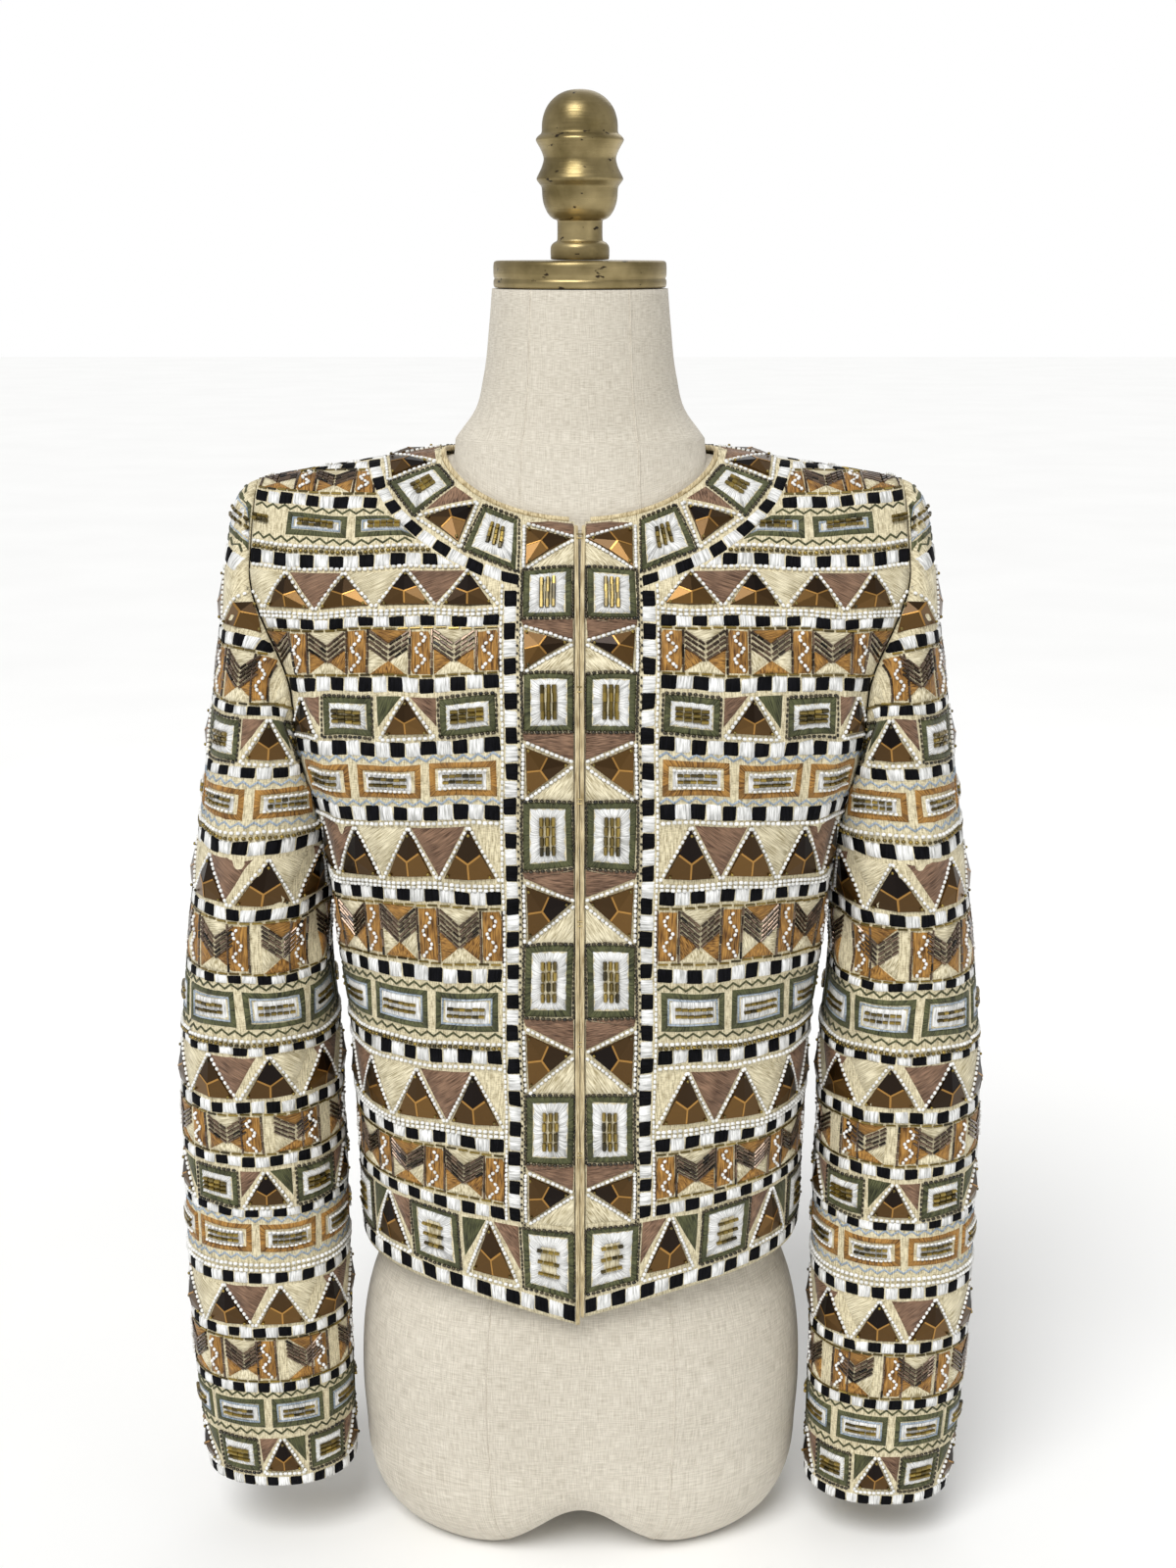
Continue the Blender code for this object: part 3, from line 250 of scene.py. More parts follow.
def shoulder_profile(s: float, side: str) -> Array:
    """Column of points from the chest line to the shoulder ridge.

    It follows |out|^n + |up|^n = 1 between the chest and the ridge, and widens
    towards the shoulder on the way.

    Args:
        s: Share of the way from the centre line to the side.
        side: "front" or "back".

    Returns:
        Points from the chest up to the ridge.
    """
    chest = body_section_point(np.array(s), np.array(CHEST_Z), side)
    ridge_x = chest[0] * SHOULDER_X / ARMHOLE_CHEST_X
    ridge_y = SHOULDER_Y * (ridge_x / SHOULDER_X) ** 2
    power = 1.5 + 0.1 * s if side == "front" else 3.0 - 1.0 * s
    turn = np.linspace(0.0, math.pi / 2, 120)
    rise = np.sin(turn) ** (2.0 / power)
    back_off = np.cos(turn) ** (2.0 / power)
    spread = np.clip(rise / 0.62, 0.0, 1.0)
    spread = spread * spread * (3 - 2 * spread)
    return beside(
        chest[0] + (ridge_x - chest[0]) * spread,
        ridge_y + (chest[1] - ridge_y) * back_off,
        CHEST_Z + (ridge_z(ridge_x) - CHEST_Z) * rise,
    )


def neck_ratio(points: Array) -> Array:
    """1 on the neckline as seen from above, less inside it."""
    depth = np.where(points[..., 1] < 0, NECK_DEPTHS["front"], NECK_DEPTHS["back"])
    across = np.abs(points[..., 0] / NECK_HALF_WIDTH) ** NECK_ROUNDNESS
    deep = np.abs(points[..., 1] / depth) ** NECK_ROUNDNESS
    return (across + deep) ** (1.0 / NECK_ROUNDNESS)


def fold_rise(folds: Array, place: Array, v: Array, round_it: float) -> Array:
    """Summed height of soft ridges, each a bell that leans as it climbs.

    Args:
        folds: Rows of place, height, lean, width, length and rise.
        place: Where each point lies across the folds.
        v: Height of each point.
        round_it: Full turn that place wraps at, or 0 for none.

    Returns:
        The rise at each point.
    """
    rise = np.zeros_like(v)
    for where, height, lean, width, length, top in folds:
        across = place - where - lean * (v - height)
        if round_it:
            across = (across + round_it / 2) % round_it - round_it / 2
        rise = rise + top * np.exp(-(across / width) ** 2 - ((v - height) / length) ** 2)
    return rise


@dataclass
class Chart:
    """Worn points and normals of a cloth piece on a level grid of u and v."""

    u: Array
    v: Array
    points: Array
    outward: float
    mirrored: bool
    normals: Array = field(init=False)

    def __post_init__(self) -> None:
        """Work out the normals of the unfolded cloth."""
        self.normals = self.slopes_crossed()

    def slopes_crossed(self) -> Array:
        """Unit normals: the cross product of the slopes along u and v."""
        cross = np.cross(np.gradient(self.points, axis=1), np.gradient(self.points, axis=0))
        return unit(cross * self.outward)

    def fold(self, rise: Array) -> None:
        """Raise every grid point along its normal."""
        self.points = self.points + self.normals * rise[..., None]
        self.normals = self.slopes_crossed()
        if self.mirrored:
            self.normals[:, 0, 0] = 0.0

    def blend(self, grid: Array, uv: Array) -> Array:
        """Read a grid between its rows and columns; u below 0 is the other half.

        Args:
            grid: Values at the grid points.
            uv: Chart points.

        Returns:
            One value row for each chart point.
        """
        i = np.clip((uv[:, 1] - self.v[0]) / (self.v[1] - self.v[0]), 0, len(self.v) - 1.001)
        across = np.abs(uv[:, 0]) if self.mirrored else uv[:, 0]
        j = np.clip((across - self.u[0]) / (self.u[1] - self.u[0]), 0, len(self.u) - 1.001)
        i0 = i.astype(int)
        j0 = j.astype(int)
        a = (i - i0)[:, None]
        b = (j - j0)[:, None]
        low = grid[i0, j0] * (1 - b) + grid[i0, j0 + 1] * b
        high = grid[i0 + 1, j0] * (1 - b) + grid[i0 + 1, j0 + 1] * b
        found = low * (1 - a) + high * a
        if self.mirrored:
            found[:, 0] *= np.where(uv[:, 0] < 0, -1.0, 1.0)
        return found

    def at(self, uv: Array) -> Array:
        """Worn points of chart points."""
        return self.blend(self.points, uv)

    def normal(self, uv: Array) -> Array:
        """Outward unit normals at chart points."""
        return unit(self.blend(self.normals, uv))


class BodyChart(Chart):
    """Half a front or half the back, u from the centre line."""

    step = 2.0

    def __init__(self, side: str) -> None:
        """Lay out one half.

        Args:
            side: "front" or "back".
        """
        self.side = side
        shares = np.linspace(0.0, 1.0, 71)
        v = np.arange(150.0, 800.0, self.step)
        rows = np.stack([self.column_points(s, v) for s in shares], axis=1)
        runs = [lengths(row) for row in rows]
        self.edge = np.array([run[-1] for run in runs])
        u = np.arange(0.0, self.edge.max() + 12.0, self.step)
        points = [along(row, run, u, (row[-1] - row[-2]) / (run[-1] - run[-2]))
                  for row, run in zip(rows, runs)]
        super().__init__(u, v, np.stack(points), 1.0 if side == "front" else -1.0, True)
        run_table = np.stack(runs)
        ridge = []
        for k in range(9, len(shares)):
            profile = shoulder_profile(shares[k], side)
            ridge_v = CHEST_Z + lengths(profile)[-1]
            ridge.append((np.interp(ridge_v, v, run_table[:, k]), ridge_v, neck_ratio(profile[-1])))
        self.ridge = np.array(ridge)
        across, up = np.meshgrid(u, v)
        fade = np.clip((self.edge[:, None] - across) / SEAM_FADE, 0.0, 1.0) ** 2
        self.fold(fade * fold_rise(BODY_FOLDS, across, up, 0.0))

    def column_points(self, s: float, v: Array) -> Array:
        """Worn points of one column: the body section below, the shoulder above."""
        reach = v + thread_rise(s, v, self.side)
        low = body_section_point(np.full_like(v, s), np.minimum(reach, CHEST_Z), self.side)
        profile = shoulder_profile(s, self.side)
        over = np.array([0.0, 1.0 if self.side == "front" else -1.0, 0.0])
        high = along(profile, lengths(profile), np.maximum(reach - CHEST_Z, 0.0), over)
        return np.where((reach > CHEST_Z)[:, None], high, low)

    def edge_at(self, v: Array) -> Array:
        """Chart u of the side seam and armhole at a height."""
        return np.interp(v, self.v, self.edge)

    def ridge_at(self, u: Array) -> Array:
        """Chart v of the shoulder seam at a distance from the centre."""
        return np.interp(np.abs(u), self.ridge[:, 0], self.ridge[:, 1])

    def neck_corner(self) -> Array:
        """Chart point where the shoulder seam meets the neckline."""
        return np.array([np.interp(1.0, self.ridge[:, 2], self.ridge[:, k]) for k in (0, 1)])

    def neckline(self, count: int) -> Array:
        """Chart points of the neckline from the shoulder to the centre line.

        Rays leave a hub above the neck hole, and each is cut where the worn
        point's neck ratio passes 1.
        """
        corner = self.neck_corner()
        hub = np.array([0.0, corner[1] + 30.0])
        first = math.atan2(corner[1] - hub[1], corner[0])
        reach = np.arange(0.0, 160.0, 0.5)
        line = [corner]
        for angle in np.linspace(first, -math.pi / 2, count)[1:]:
            ray = hub + reach[:, None] * np.array([math.cos(angle), math.sin(angle)])
            ratio = neck_ratio(self.at(ray))
            k = int(np.argmax(ratio > 1.0))
            share = (1.0 - ratio[k - 1]) / (ratio[k] - ratio[k - 1])
            line.append(ray[k - 1] + (ray[k] - ray[k - 1]) * share)
        line[-1][0] = 0.0
        return np.array(line)

    def underarm_v(self) -> float:
        """Chart height of the underarm."""
        return float(np.interp(UNDERARM_Z, self.v + thread_rise(1.0, self.v, self.side), self.v))

    def side_line(self, hem_v: float) -> Array:
        """Chart points up the side seam and armhole to the shoulder."""
        v = np.linspace(hem_v, self.ridge[-1, 1], 400)
        return beside(self.edge_at(v), v)


class SleeveChart(Chart):
    """The whole right sleeve; u runs once round from its front seam."""

    around = 345.0
    overlap = 36.0

    def __init__(self, front: BodyChart, back: BodyChart) -> None:
        """Lay out the sleeve between its cuff and the armholes of both charts."""
        self.turns = np.linspace(FRONT_SEAM_TURN - self.overlap, FRONT_SEAM_TURN + 360.0 + self.overlap, 217)
        v = np.arange(20.0, 760.0, 2.0)
        lines = {}
        for chart in (front, back):
            level = np.linspace(chart.ridge[-1, 1], chart.underarm_v(), 160)
            line = chart.at(beside(chart.edge_at(level), level))
            lines[chart.side] = (line, lengths(line))
        columns = []
        tops = []
        for turn in self.turns:
            curve, measure, over = self.column(turn, lines)
            columns.append(along(curve, measure, v, over))
            tops.append(measure[-1])
        self.top = np.array(tops)
        rows = np.stack(columns, axis=1)
        u = np.arange(-24.0, self.around + 24.0, 2.0)
        points = []
        turn_rows = []
        for row, z in zip(rows, v):
            run = lengths(self.tube_point(self.turns, np.full_like(self.turns, min(z, BICEP_Z))))
            first, last = np.interp((FRONT_SEAM_TURN, FRONT_SEAM_TURN + 360.0), self.turns, run)
            place = (run - first) / (last - first) * self.around
            points.append(np.stack([np.interp(u, place, row[:, k]) for k in range(3)], -1))
            turn_rows.append(np.interp(u, place, self.turns))
        self.turn_rows = np.stack(turn_rows)
        super().__init__(u, v, np.stack(points), -1.0, False)
        up = np.meshgrid(u, v)[1]
        top = np.interp(self.turn_rows, self.turns, self.top)
        fade = np.clip((top - up) / SEAM_FADE, 0.0, 1.0) ** 2
        self.fold(fade * fold_rise(SLEEVE_FOLDS, self.turn_rows, up, 360.0))

    def tube_point(self, turn: Array, z: Array) -> Array:
        """Point of the sleeve's oval tube; turn 0 is outermost and 90 the front."""
        half = read(SLEEVE_SECTIONS, 2, z) / 2
        angle = np.radians(turn)
        radius = oval_radius(angle, read(SLEEVE_SECTIONS, 4, z), half, SLEEVE_SQUARENESS)
        return beside(read(SLEEVE_SECTIONS, 1, z) - half + radius * np.cos(angle),
                      read(SLEEVE_SECTIONS, 3, z) - radius * np.sin(angle), z + 0 * half)

    def column(self, turn: float, lines: dict) -> tuple[Array, Array, Array]:
        """One column: the tube up to its join, then a cubic curve to the armhole.

        Args:
            turn: Degrees round the sleeve.
            lines: Armhole points and their lengths by side.

        Returns:
            Points, their measure from the floor, and the direction past the end.
        """
        angle = math.radians(turn)
        join_z = BICEP_Z + (CAP_Z - BICEP_Z) * (0.5 + 0.5 * math.cos(angle))
        z = np.append(np.arange(20.0, join_z, 6.0), join_z)
        tube = self.tube_point(turn, z)
        wrapped = turn % 360
        line, measure = lines["front" if wrapped <= 180 else "back"]
        share = wrapped / 180 if wrapped <= 180 else (360 - wrapped) / 180
        seam = np.array([np.interp(share * measure[-1], measure, line[:, k]) for k in range(3)])
        seam = seam + np.array([0.75, 0.0, 0.0])
        under = 0.5 - 0.5 * math.cos(angle)
        away = unit(np.array([0.98 - 0.66 * under ** 1.5, -0.30 * math.sin(angle), -0.20 - 0.80 * under]))
        span = np.linalg.norm(seam - tube[-1])
        rising = unit(tube[-1] - tube[-2])
        leaving = unit(rising + (seam - tube[-1]) / span * math.sin(angle / 2) ** 2)
        t = np.linspace(0.0, 1.0, 40)[1:, None]
        cap = ((1 + 2 * t) * (1 - t) ** 2 * tube[-1] + t * (1 - t) ** 2 * span * leaving
               + t * t * (3 - 2 * t) * seam + t * t * (1 - t) * span * away)
        curve = np.vstack([tube, cap])
        run = np.concatenate([z, join_z + lengths(np.vstack([tube[-1:], cap]))[1:]])
        return curve, run, -away

    def top_at(self, u: Array) -> Array:
        """Chart v of the armhole seam at a place round the sleeve."""
        return np.interp(np.interp(u, self.u, self.turn_rows[-1]), self.turns, self.top)

    def seam_at(self, turn: float, v: Array) -> Array:
        """Chart u of a turn at each height."""
        rows = np.clip(((v - self.v[0]) / 2.0).round().astype(int), 0, len(self.v) - 1)
        return np.array([np.interp(turn, self.turn_rows[k], self.u) for k in rows])


# Finishes


def linear(colour: Sequence[float]) -> tuple[float, float, float, float]:
    """Display colour from 0 to 255 as linear light with full opacity."""
    share = [c / 255.0 for c in colour]
    light = [c / 12.92 if c <= 0.04045 else ((c + 0.055) / 1.055) ** 2.4 for c in share]
    return (light[0], light[1], light[2], 1.0)


class Wiring:
    """A new material with short calls for adding and joining its nodes."""

    def __init__(self, name: str) -> None:
        """Start a material with one main shader."""
        self.material = bpy.data.materials.new(name)
        self.material.use_nodes = True
        self.tree = self.material.node_tree
        self.shader = self.tree.nodes["Principled BSDF"]

    def add(self, kind: str, inputs: dict | None = None, **settings: object) -> bpy.types.Node:
        """Add a node, set its settings and set or join its inputs."""
        node = self.tree.nodes.new(kind)
        for name, value in settings.items():
            setattr(node, name, value)
        for name, value in (inputs or {}).items():
            self.put(node.inputs[name], value)
        return node

    def put(self, socket: Socket, value: object) -> None:
        """Join a socket to another node's output, or set its value."""
        if isinstance(value, Socket):
            self.tree.links.new(value, socket)
        else:
            socket.default_value = value

    def principled(self, **values: object) -> None:
        """Set or join the main shader's sockets, with _ for each space in a name."""
        for name, value in values.items():
            self.put(self.shader.inputs[name.replace("_", " ")], value)

    def stitches(self) -> Socket:
        """The piece's stitch map."""
        return self.add("ShaderNodeUVMap", uv_map="stitch").outputs[0]

    def place(self) -> Socket:
        """Object coordinates."""
        return self.add("ShaderNodeTexCoord").outputs["Object"]

    def scaled(self, source: Socket, scale: Sequence[float]) -> Socket:
        """Coordinates multiplied by a scale for each axis."""
        return self.add("ShaderNodeMapping", {"Vector": source, "Scale": tuple(scale)}).outputs[0]

    def noise(self, vector: Socket, scale: float, detail: float = 2.0) -> Socket:
        """Cloudy noise from 0 to 1."""
        inputs = {"Vector": vector, "Scale": scale, "Detail": detail}
        return self.add("ShaderNodeTexNoise", inputs).outputs[0]

    def ramp(self, factor: Socket, stops: Sequence[tuple]) -> Socket:
        """Colours or greys at places of a factor."""
        node = self.add("ShaderNodeValToRGB", {"Fac": factor})
        elements = node.color_ramp.elements
        while len(elements) < len(stops):
            elements.new(0.5)
        for element, (place, colour) in zip(elements, stops):
            element.position = place
            element.color = colour
        return node.outputs[0]

    def shades(self, factor: Socket, low: float, dark: Colour, high: float, light: Colour) -> Socket:
        """Display colours from dark to light between two places of a factor."""
        return self.ramp(factor, [(low, linear(dark)), (high, linear(light))])

    def mixed(self, first: Socket, share: float, second: Socket) -> Socket:
        """A share of the first value and the rest of the second."""
        rest = self.math("MULTIPLY", second, 1.0 - share)
        return self.math("ADD", self.math("MULTIPLY", first, share), rest)

    def math(self, kind: str, first: object, second: object = 0.0) -> Socket:
        """One arithmetic step on two values."""
        node = self.add("ShaderNodeMath", operation=kind)
        self.put(node.inputs[0], first)
        self.put(node.inputs[1], second)
        return node.outputs[0]

    def bump(self, height: Socket, strength: float, distance: float) -> Socket:
        """Normals tilted by a height."""
        inputs = {"Height": height, "Strength": strength, "Distance": distance}
        return self.add("ShaderNodeBump", inputs).outputs[0]


def grey(level: float) -> tuple[float, float, float, float]:
    """A grey of one level."""
    return (level, level, level, 1.0)


@dataclass(frozen=True)
class SatinFinish:
    """Laid satin stitches: fine streaks across the piece's stitch map."""

    name: str
    dark: Colour
    light: Colour
    roughness: float = 0.55
    sheen: float = 0.12
    specular: float = 0.25

    def material(self) -> Material:
        """Streaked colour from the stitch map, with a thread bump."""
        w = Wiring(self.name)
        stitch = w.stitches()
        streak = w.noise(w.scaled(stitch, (0.95, 0.09, 1.0)), 1.0, 3.0)
        tone = w.mixed(streak, 0.72, w.noise(w.place(), 90.0))
        colour = w.shades(tone, 0.36, self.dark, 0.60, self.light)
        w.principled(Base_Color=colour, Roughness=self.roughness, Sheen_Weight=self.sheen,
                     Sheen_Roughness=0.4, Specular_IOR_Level=self.specular,
                     Normal=w.bump(streak, 0.8, 0.0011))
        return w.material


@dataclass(frozen=True)
class BeadFinish:
    """Glass or metal beads, each a little lighter or darker than the next."""

    name: str
    dark: Colour
    light: Colour
    roughness: float = 0.22
    metallic: float = 0.0
    coat: float = 0.4

    def material(self) -> Material:
        """Colour from each bead's own tone; on the studs the facets' tones also carry painted shade and
        painted highlight.
        """
        w = Wiring(self.name)
        tone = w.add("ShaderNodeAttribute", attribute_name="tone").outputs["Fac"]
        colour = w.shades(tone, 0.0, self.dark, 1.0, self.light)
        w.principled(Base_Color=colour, Roughness=self.roughness, Metallic=self.metallic,
                     Coat_Weight=self.coat, Coat_Roughness=0.12)
        return w.material


@dataclass(frozen=True)
class GroundFinish:
    """The woven ground under the stitches: a fine twill with small slubs."""

    name: str
    dark: Colour
    light: Colour

    def material(self) -> Material:
        """Twill waves and noise on the stitch map."""
        w = Wiring(self.name)
        stitch = w.stitches()
        turned = w.add("ShaderNodeMapping", {"Vector": stitch, "Rotation": (0.0, 0.0, 0.7)}).outputs[0]
        twill = w.add("ShaderNodeTexWave", {"Vector": turned, "Scale": 0.55, "Distortion": 0.8,
                                            "Detail": 1.0}).outputs[1]
        slub = w.noise(w.scaled(stitch, (0.35, 1.4, 1.0)), 1.0, 3.0)
        laid = w.noise(w.scaled(stitch, (1.05, 0.16, 1.0)), 1.0, 3.0)
        tone = w.mixed(w.mixed(twill, 0.20, slub), 0.40, laid)
        colour = w.shades(tone, 0.33, self.dark, 0.58, self.light)
        w.principled(Base_Color=colour, Roughness=0.85, Sheen_Weight=0.1,
                     Normal=w.bump(tone, 0.8, 0.0011))
        return w.material


@dataclass(frozen=True)
class LinenFinish:
    """Plain linen stretched over the form: crossed threads with slubs and soft marks."""

    name: str = "linen"
    dark: Colour = (176, 167, 150)
    light: Colour = (224, 217, 202)

    def material(self) -> Material:
        """Two noises stretched along warp and weft, over a cloud of wear."""
        w = Wiring(self.name)
        stitch = w.stitches()
        weft = w.noise(w.scaled(stitch, (0.10, 1.5, 1.0)), 1.0, 4.0)
        warp = w.noise(w.scaled(stitch, (1.5, 0.10, 1.0)), 1.0, 4.0)
        weave = w.mixed(weft, 0.5, warp)
        tone = w.mixed(weave, 0.82, w.noise(w.place(), 9.0, 3.0))
        colour = w.shades(tone, 0.34, self.dark, 0.60, self.light)
        w.principled(Base_Color=colour, Roughness=0.9, Sheen_Weight=0.15,
                     Normal=w.bump(weave, 0.7, 0.0009))
        return w.material


@dataclass(frozen=True)
class AgedBrassFinish:
    """Brushed gilt metal, dulled and chipped dark in places."""

    name: str = "aged_brass"

    def material(self) -> Material:
        """Rings of brushing, a cloud of tarnish and small dark chips."""
        w = Wiring(self.name)
        place = w.place()
        cloud = w.noise(place, 38.0, 5.0)
        brushed = w.noise(w.scaled(place, (25.0, 25.0, 1400.0)), 1.0, 2.0)
        chip = w.noise(w.scaled(place, (1.0, 1.0, 2.2)), 120.0, 6.0)
        gilt = w.shades(cloud, 0.3, (112, 98, 62), 0.7, (178, 160, 116))
        chipped = w.ramp(chip, [(0.655, grey(0.0)), (0.68, grey(1.0))])
        mixed = w.add("ShaderNodeMix", {"Factor": chipped}, data_type="RGBA")
        w.put(mixed.inputs[6], gilt)
        mixed.inputs[7].default_value = linear((52, 42, 30))
        rough = w.ramp(brushed, [(0.3, grey(0.26)), (0.7, grey(0.44))])
        w.principled(Base_Color=mixed.outputs[2], Roughness=rough, Metallic=0.85,
                     Normal=w.bump(brushed, 0.25, 0.0003))
        return w.material


@dataclass(frozen=True)
class PaleFinish:
    """Matt near-white paint of the studio floor."""

    name: str = "pale_floor"
    colour: Colour = (251, 251, 250)

    def material(self) -> Material:
        """Plain white with a barely visible mottle."""
        w = Wiring(self.name)
        mottle = w.noise(w.place(), 3.0)
        low = tuple(c - 3 for c in self.colour)
        w.principled(Base_Color=w.shades(mottle, 0.3, low, 0.7, self.colour), Roughness=0.9)
        return w.material


def placed(name: str, data: object) -> Piece:
    """A new object of some data, linked to the scene."""
    piece = bpy.data.objects.new(name, data)
    bpy.context.scene.collection.objects.link(piece)
    return piece


class Thread(Enum):
    """The stitched finishes of the jacket, in slot order."""

    CREAM = SatinFinish("cream_satin", (156, 142, 104), (244, 234, 202))
    TAUPE = SatinFinish("taupe_satin", (66, 44, 30), (150, 118, 94))
    MUSTARD = SatinFinish("mustard_satin", (78, 46, 14), (184, 136, 68))
    OLIVE = SatinFinish("olive_satin", (32, 34, 18), (96, 98, 64))
    WHITE = SatinFinish("white_satin", (172, 172, 168), (254, 254, 252), sheen=0.1)
    BLACK = SatinFinish("black_satin", (2, 2, 3), (16, 16, 20), roughness=0.7, sheen=0.0, specular=0.08)
    BLUE_GREY = SatinFinish("blue_grey_satin", (112, 126, 140), (184, 196, 208))


class Bead(Enum):
    """The beads of the jacket, in slot order."""

    WHITE = BeadFinish("white_beads", (214, 214, 210), (252, 252, 250), roughness=0.3, coat=0.25)
    GOLD = BeadFinish("gold_beads", (52, 44, 14), (160, 136, 62), roughness=0.28, metallic=0.75)
    DARK = BeadFinish("dark_beads", (12, 11, 8), (72, 62, 40), roughness=0.22, metallic=0.5)
    BRONZE = BeadFinish("bronze_bugles", (20, 14, 10), (124, 102, 84), roughness=0.2, metallic=0.75)
    # The studs' ramp also turns their painted facet shade and painted ridge highlights into colour.
    STUD = BeadFinish("bronze_studs", (20, 9, 3), (186, 138, 70), roughness=0.3, metallic=0.8, coat=0.1)


def slot_of(member: Enum) -> int:
    """Place of a finish among its kind."""
    return list(type(member)).index(member)


# Meshes


class Mesher:
    """Gathers points and triangles of one piece and makes its object."""

    def __init__(self) -> None:
        """Start with nothing gathered."""
        self.shapes: list[tuple] = []

    def add(self, points: Array, faces: Array, slot: int = 0, stitch: Array | None = None,
            tone: Array | float = 0.5, smooth: bool = True) -> None:
        """Add points and triangles.

        Args:
            points: Rows of x, y and z in millimetres.
            faces: Triangles as rows of point numbers.
            slot: Material slot of the triangles.
            stitch: Stitch map in millimetres, one row for each point.
            tone: Tone of each triangle from 0 to 1, or one tone for all.
            smooth: True for smooth shading.
        """
        stitch = np.zeros((len(points), 2)) if stitch is None else stitch
        self.shapes.append((points, faces, slot, stitch, tone, smooth))

    def build(self, name: str, materials: Sequence[Material]) -> Piece:
        """Make the object at the origin, riding on the form.

        Args:
            name: Object name.
            materials: One material for each slot.

        Returns:
            The finished object.
        """
        points, faces, slots, maps, tones, smooth = zip(*self.shapes)
        starts = np.cumsum([0] + [len(part) for part in points[:-1]])
        sizes = [len(part) for part in faces]
        faces = np.vstack([part + start for part, start in zip(faces, starts)]).astype(np.int32)
        tones = [np.broadcast_to(np.asarray(part, np.float32), (size,)) for part, size in zip(tones, sizes)]
        points = (np.vstack(points) + (0.0, BOX_SHIFT_Y, 0.0)) * MM
        mesh = bpy.data.meshes.new(name)
        mesh.from_pydata(points, np.zeros((0, 2), np.int32), faces)
        mesh.polygons.foreach_set("material_index", np.repeat(np.array(slots, np.int32), sizes))
        mesh.polygons.foreach_set("use_smooth", np.repeat(np.array(smooth, bool), sizes))
        tone = mesh.attributes.new("tone", "FLOAT", "FACE")
        tone.data.foreach_set("value", np.concatenate(tones))
        layer = mesh.uv_layers.new(name="stitch")
        layer.data.foreach_set("uv", np.vstack(maps)[faces.ravel()].astype(np.float32).ravel())
        for material in materials:
            mesh.materials.append(material)
        mesh.update()
        piece = placed(name, mesh)
        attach(piece, "root")
        LOG.info("%s: %d triangles", name, len(faces))
        return piece

    def build_parts(self, name: str, materials: Sequence[Material]) -> list[Piece]:
        """Make one object, or several where it has more than MOST_TRIANGLES triangles."""
        share = math.ceil(self.size() / MOST_TRIANGLES)
        if share <= 1:
            return [self.build(name, materials)]
        parts = [Mesher() for _ in range(share)]
        for shape in self.shapes:
            min(parts, key=Mesher.size).shapes.append(shape)
        return [part.build("%s_%d" % (name, k + 1), materials) for k, part in enumerate(parts)]

    def size(self) -> int:
        """Triangles gathered so far."""
        return sum(len(shape[1]) for shape in self.shapes)


def grid_faces(rows: int, columns: int, round_it: bool = False) -> Array:
    """Triangles of a grid of points, wound from columns to rows.

    Args:
        rows: Number of rows.
        columns: Number of columns.
        round_it: True to join the last column to the first.

    Returns:
        Triangles as rows of point numbers.
    """
    across = columns if round_it else columns - 1
    i, j = np.meshgrid(np.arange(rows - 1), np.arange(across), indexing="ij")
    k = (j + 1) % columns
    a, b, c, d = i * columns + j, i * columns + k, (i + 1) * columns + k, (i + 1) * columns + j
    first = beside(a, b, c).reshape(-1, 3)
    second = beside(a, c, d).reshape(-1, 3)
    return np.vstack([first, second])


def closed_faces(rows: int, columns: int) -> Array:
    """Triangles of a grid joined round, with a fan to a pole at each end after it."""
    i = np.arange(columns)
    j = (i + 1) % columns
    count = rows * columns
    low = beside(j, i, 0 * i + count)
    high = beside(count - columns + i, count - columns + j, 0 * i + count + 1)
    return np.vstack([grid_faces(rows, columns, True), low, high])


def boxes(left: Array, right: Array, low: Array, high: Array) -> Array:
    """Level rectangles of (u, v), each with its four corners in order round it."""
    left, right, low, high = np.broadcast_arrays(left, right, low, high)
    corners = ((left, low), (right, low), (right, high), (left, high))
    return np.stack([np.stack(corner, -1) for corner in corners], 1)


@dataclass(frozen=True)
class Motif:
    """A small raised shape given by its corners.

    Each point is a weighted mean of the corners at a height above the cloth.
    """

    weights: Array
    heights: Array
    faces: Array
    stitch: Array
    tones: Array | float = 0.5
    smooth: bool = True


# How far a motif's edge is sunk into the cloth, and how much of a block its rounding takes
SUNK = -0.25
PILLOW_RIM = 0.12


def square_weights(s: Array, t: Array) -> Array:
    """Bilinear weights of four corners, in order round the square."""
    return beside((1 - s) * (1 - t), s * (1 - t), s * t, (1 - s) * t)


def pillow(width: float, height: float, rise: float, turned: bool = False) -> Motif:
    """A stitched block: flat-topped with a rounded rim sunk into the cloth.

    Args:
        width: Size along the first side.
        height: Size along the second side.
        rise: Height of the top.
        turned: True if the threads run along the first side.

    Returns:
        The motif, its corners in order round the block.
    """
    steps = np.array([0.0, PILLOW_RIM, 0.5, 1 - PILLOW_RIM, 1.0])
    s, t = (a.ravel() for a in np.meshgrid(steps, steps))
    out = np.maximum(np.abs(s - 0.5), np.abs(t - 0.5)) * 2
    heights = np.where(out > 0.99, SUNK, np.where(out > 0.5, rise * 0.86, rise))
    stitch = np.stack([t * height, s * width] if turned else [s * width, t * height], -1)
    return Motif(square_weights(s, t), heights, grid_faces(5, 5), stitch)


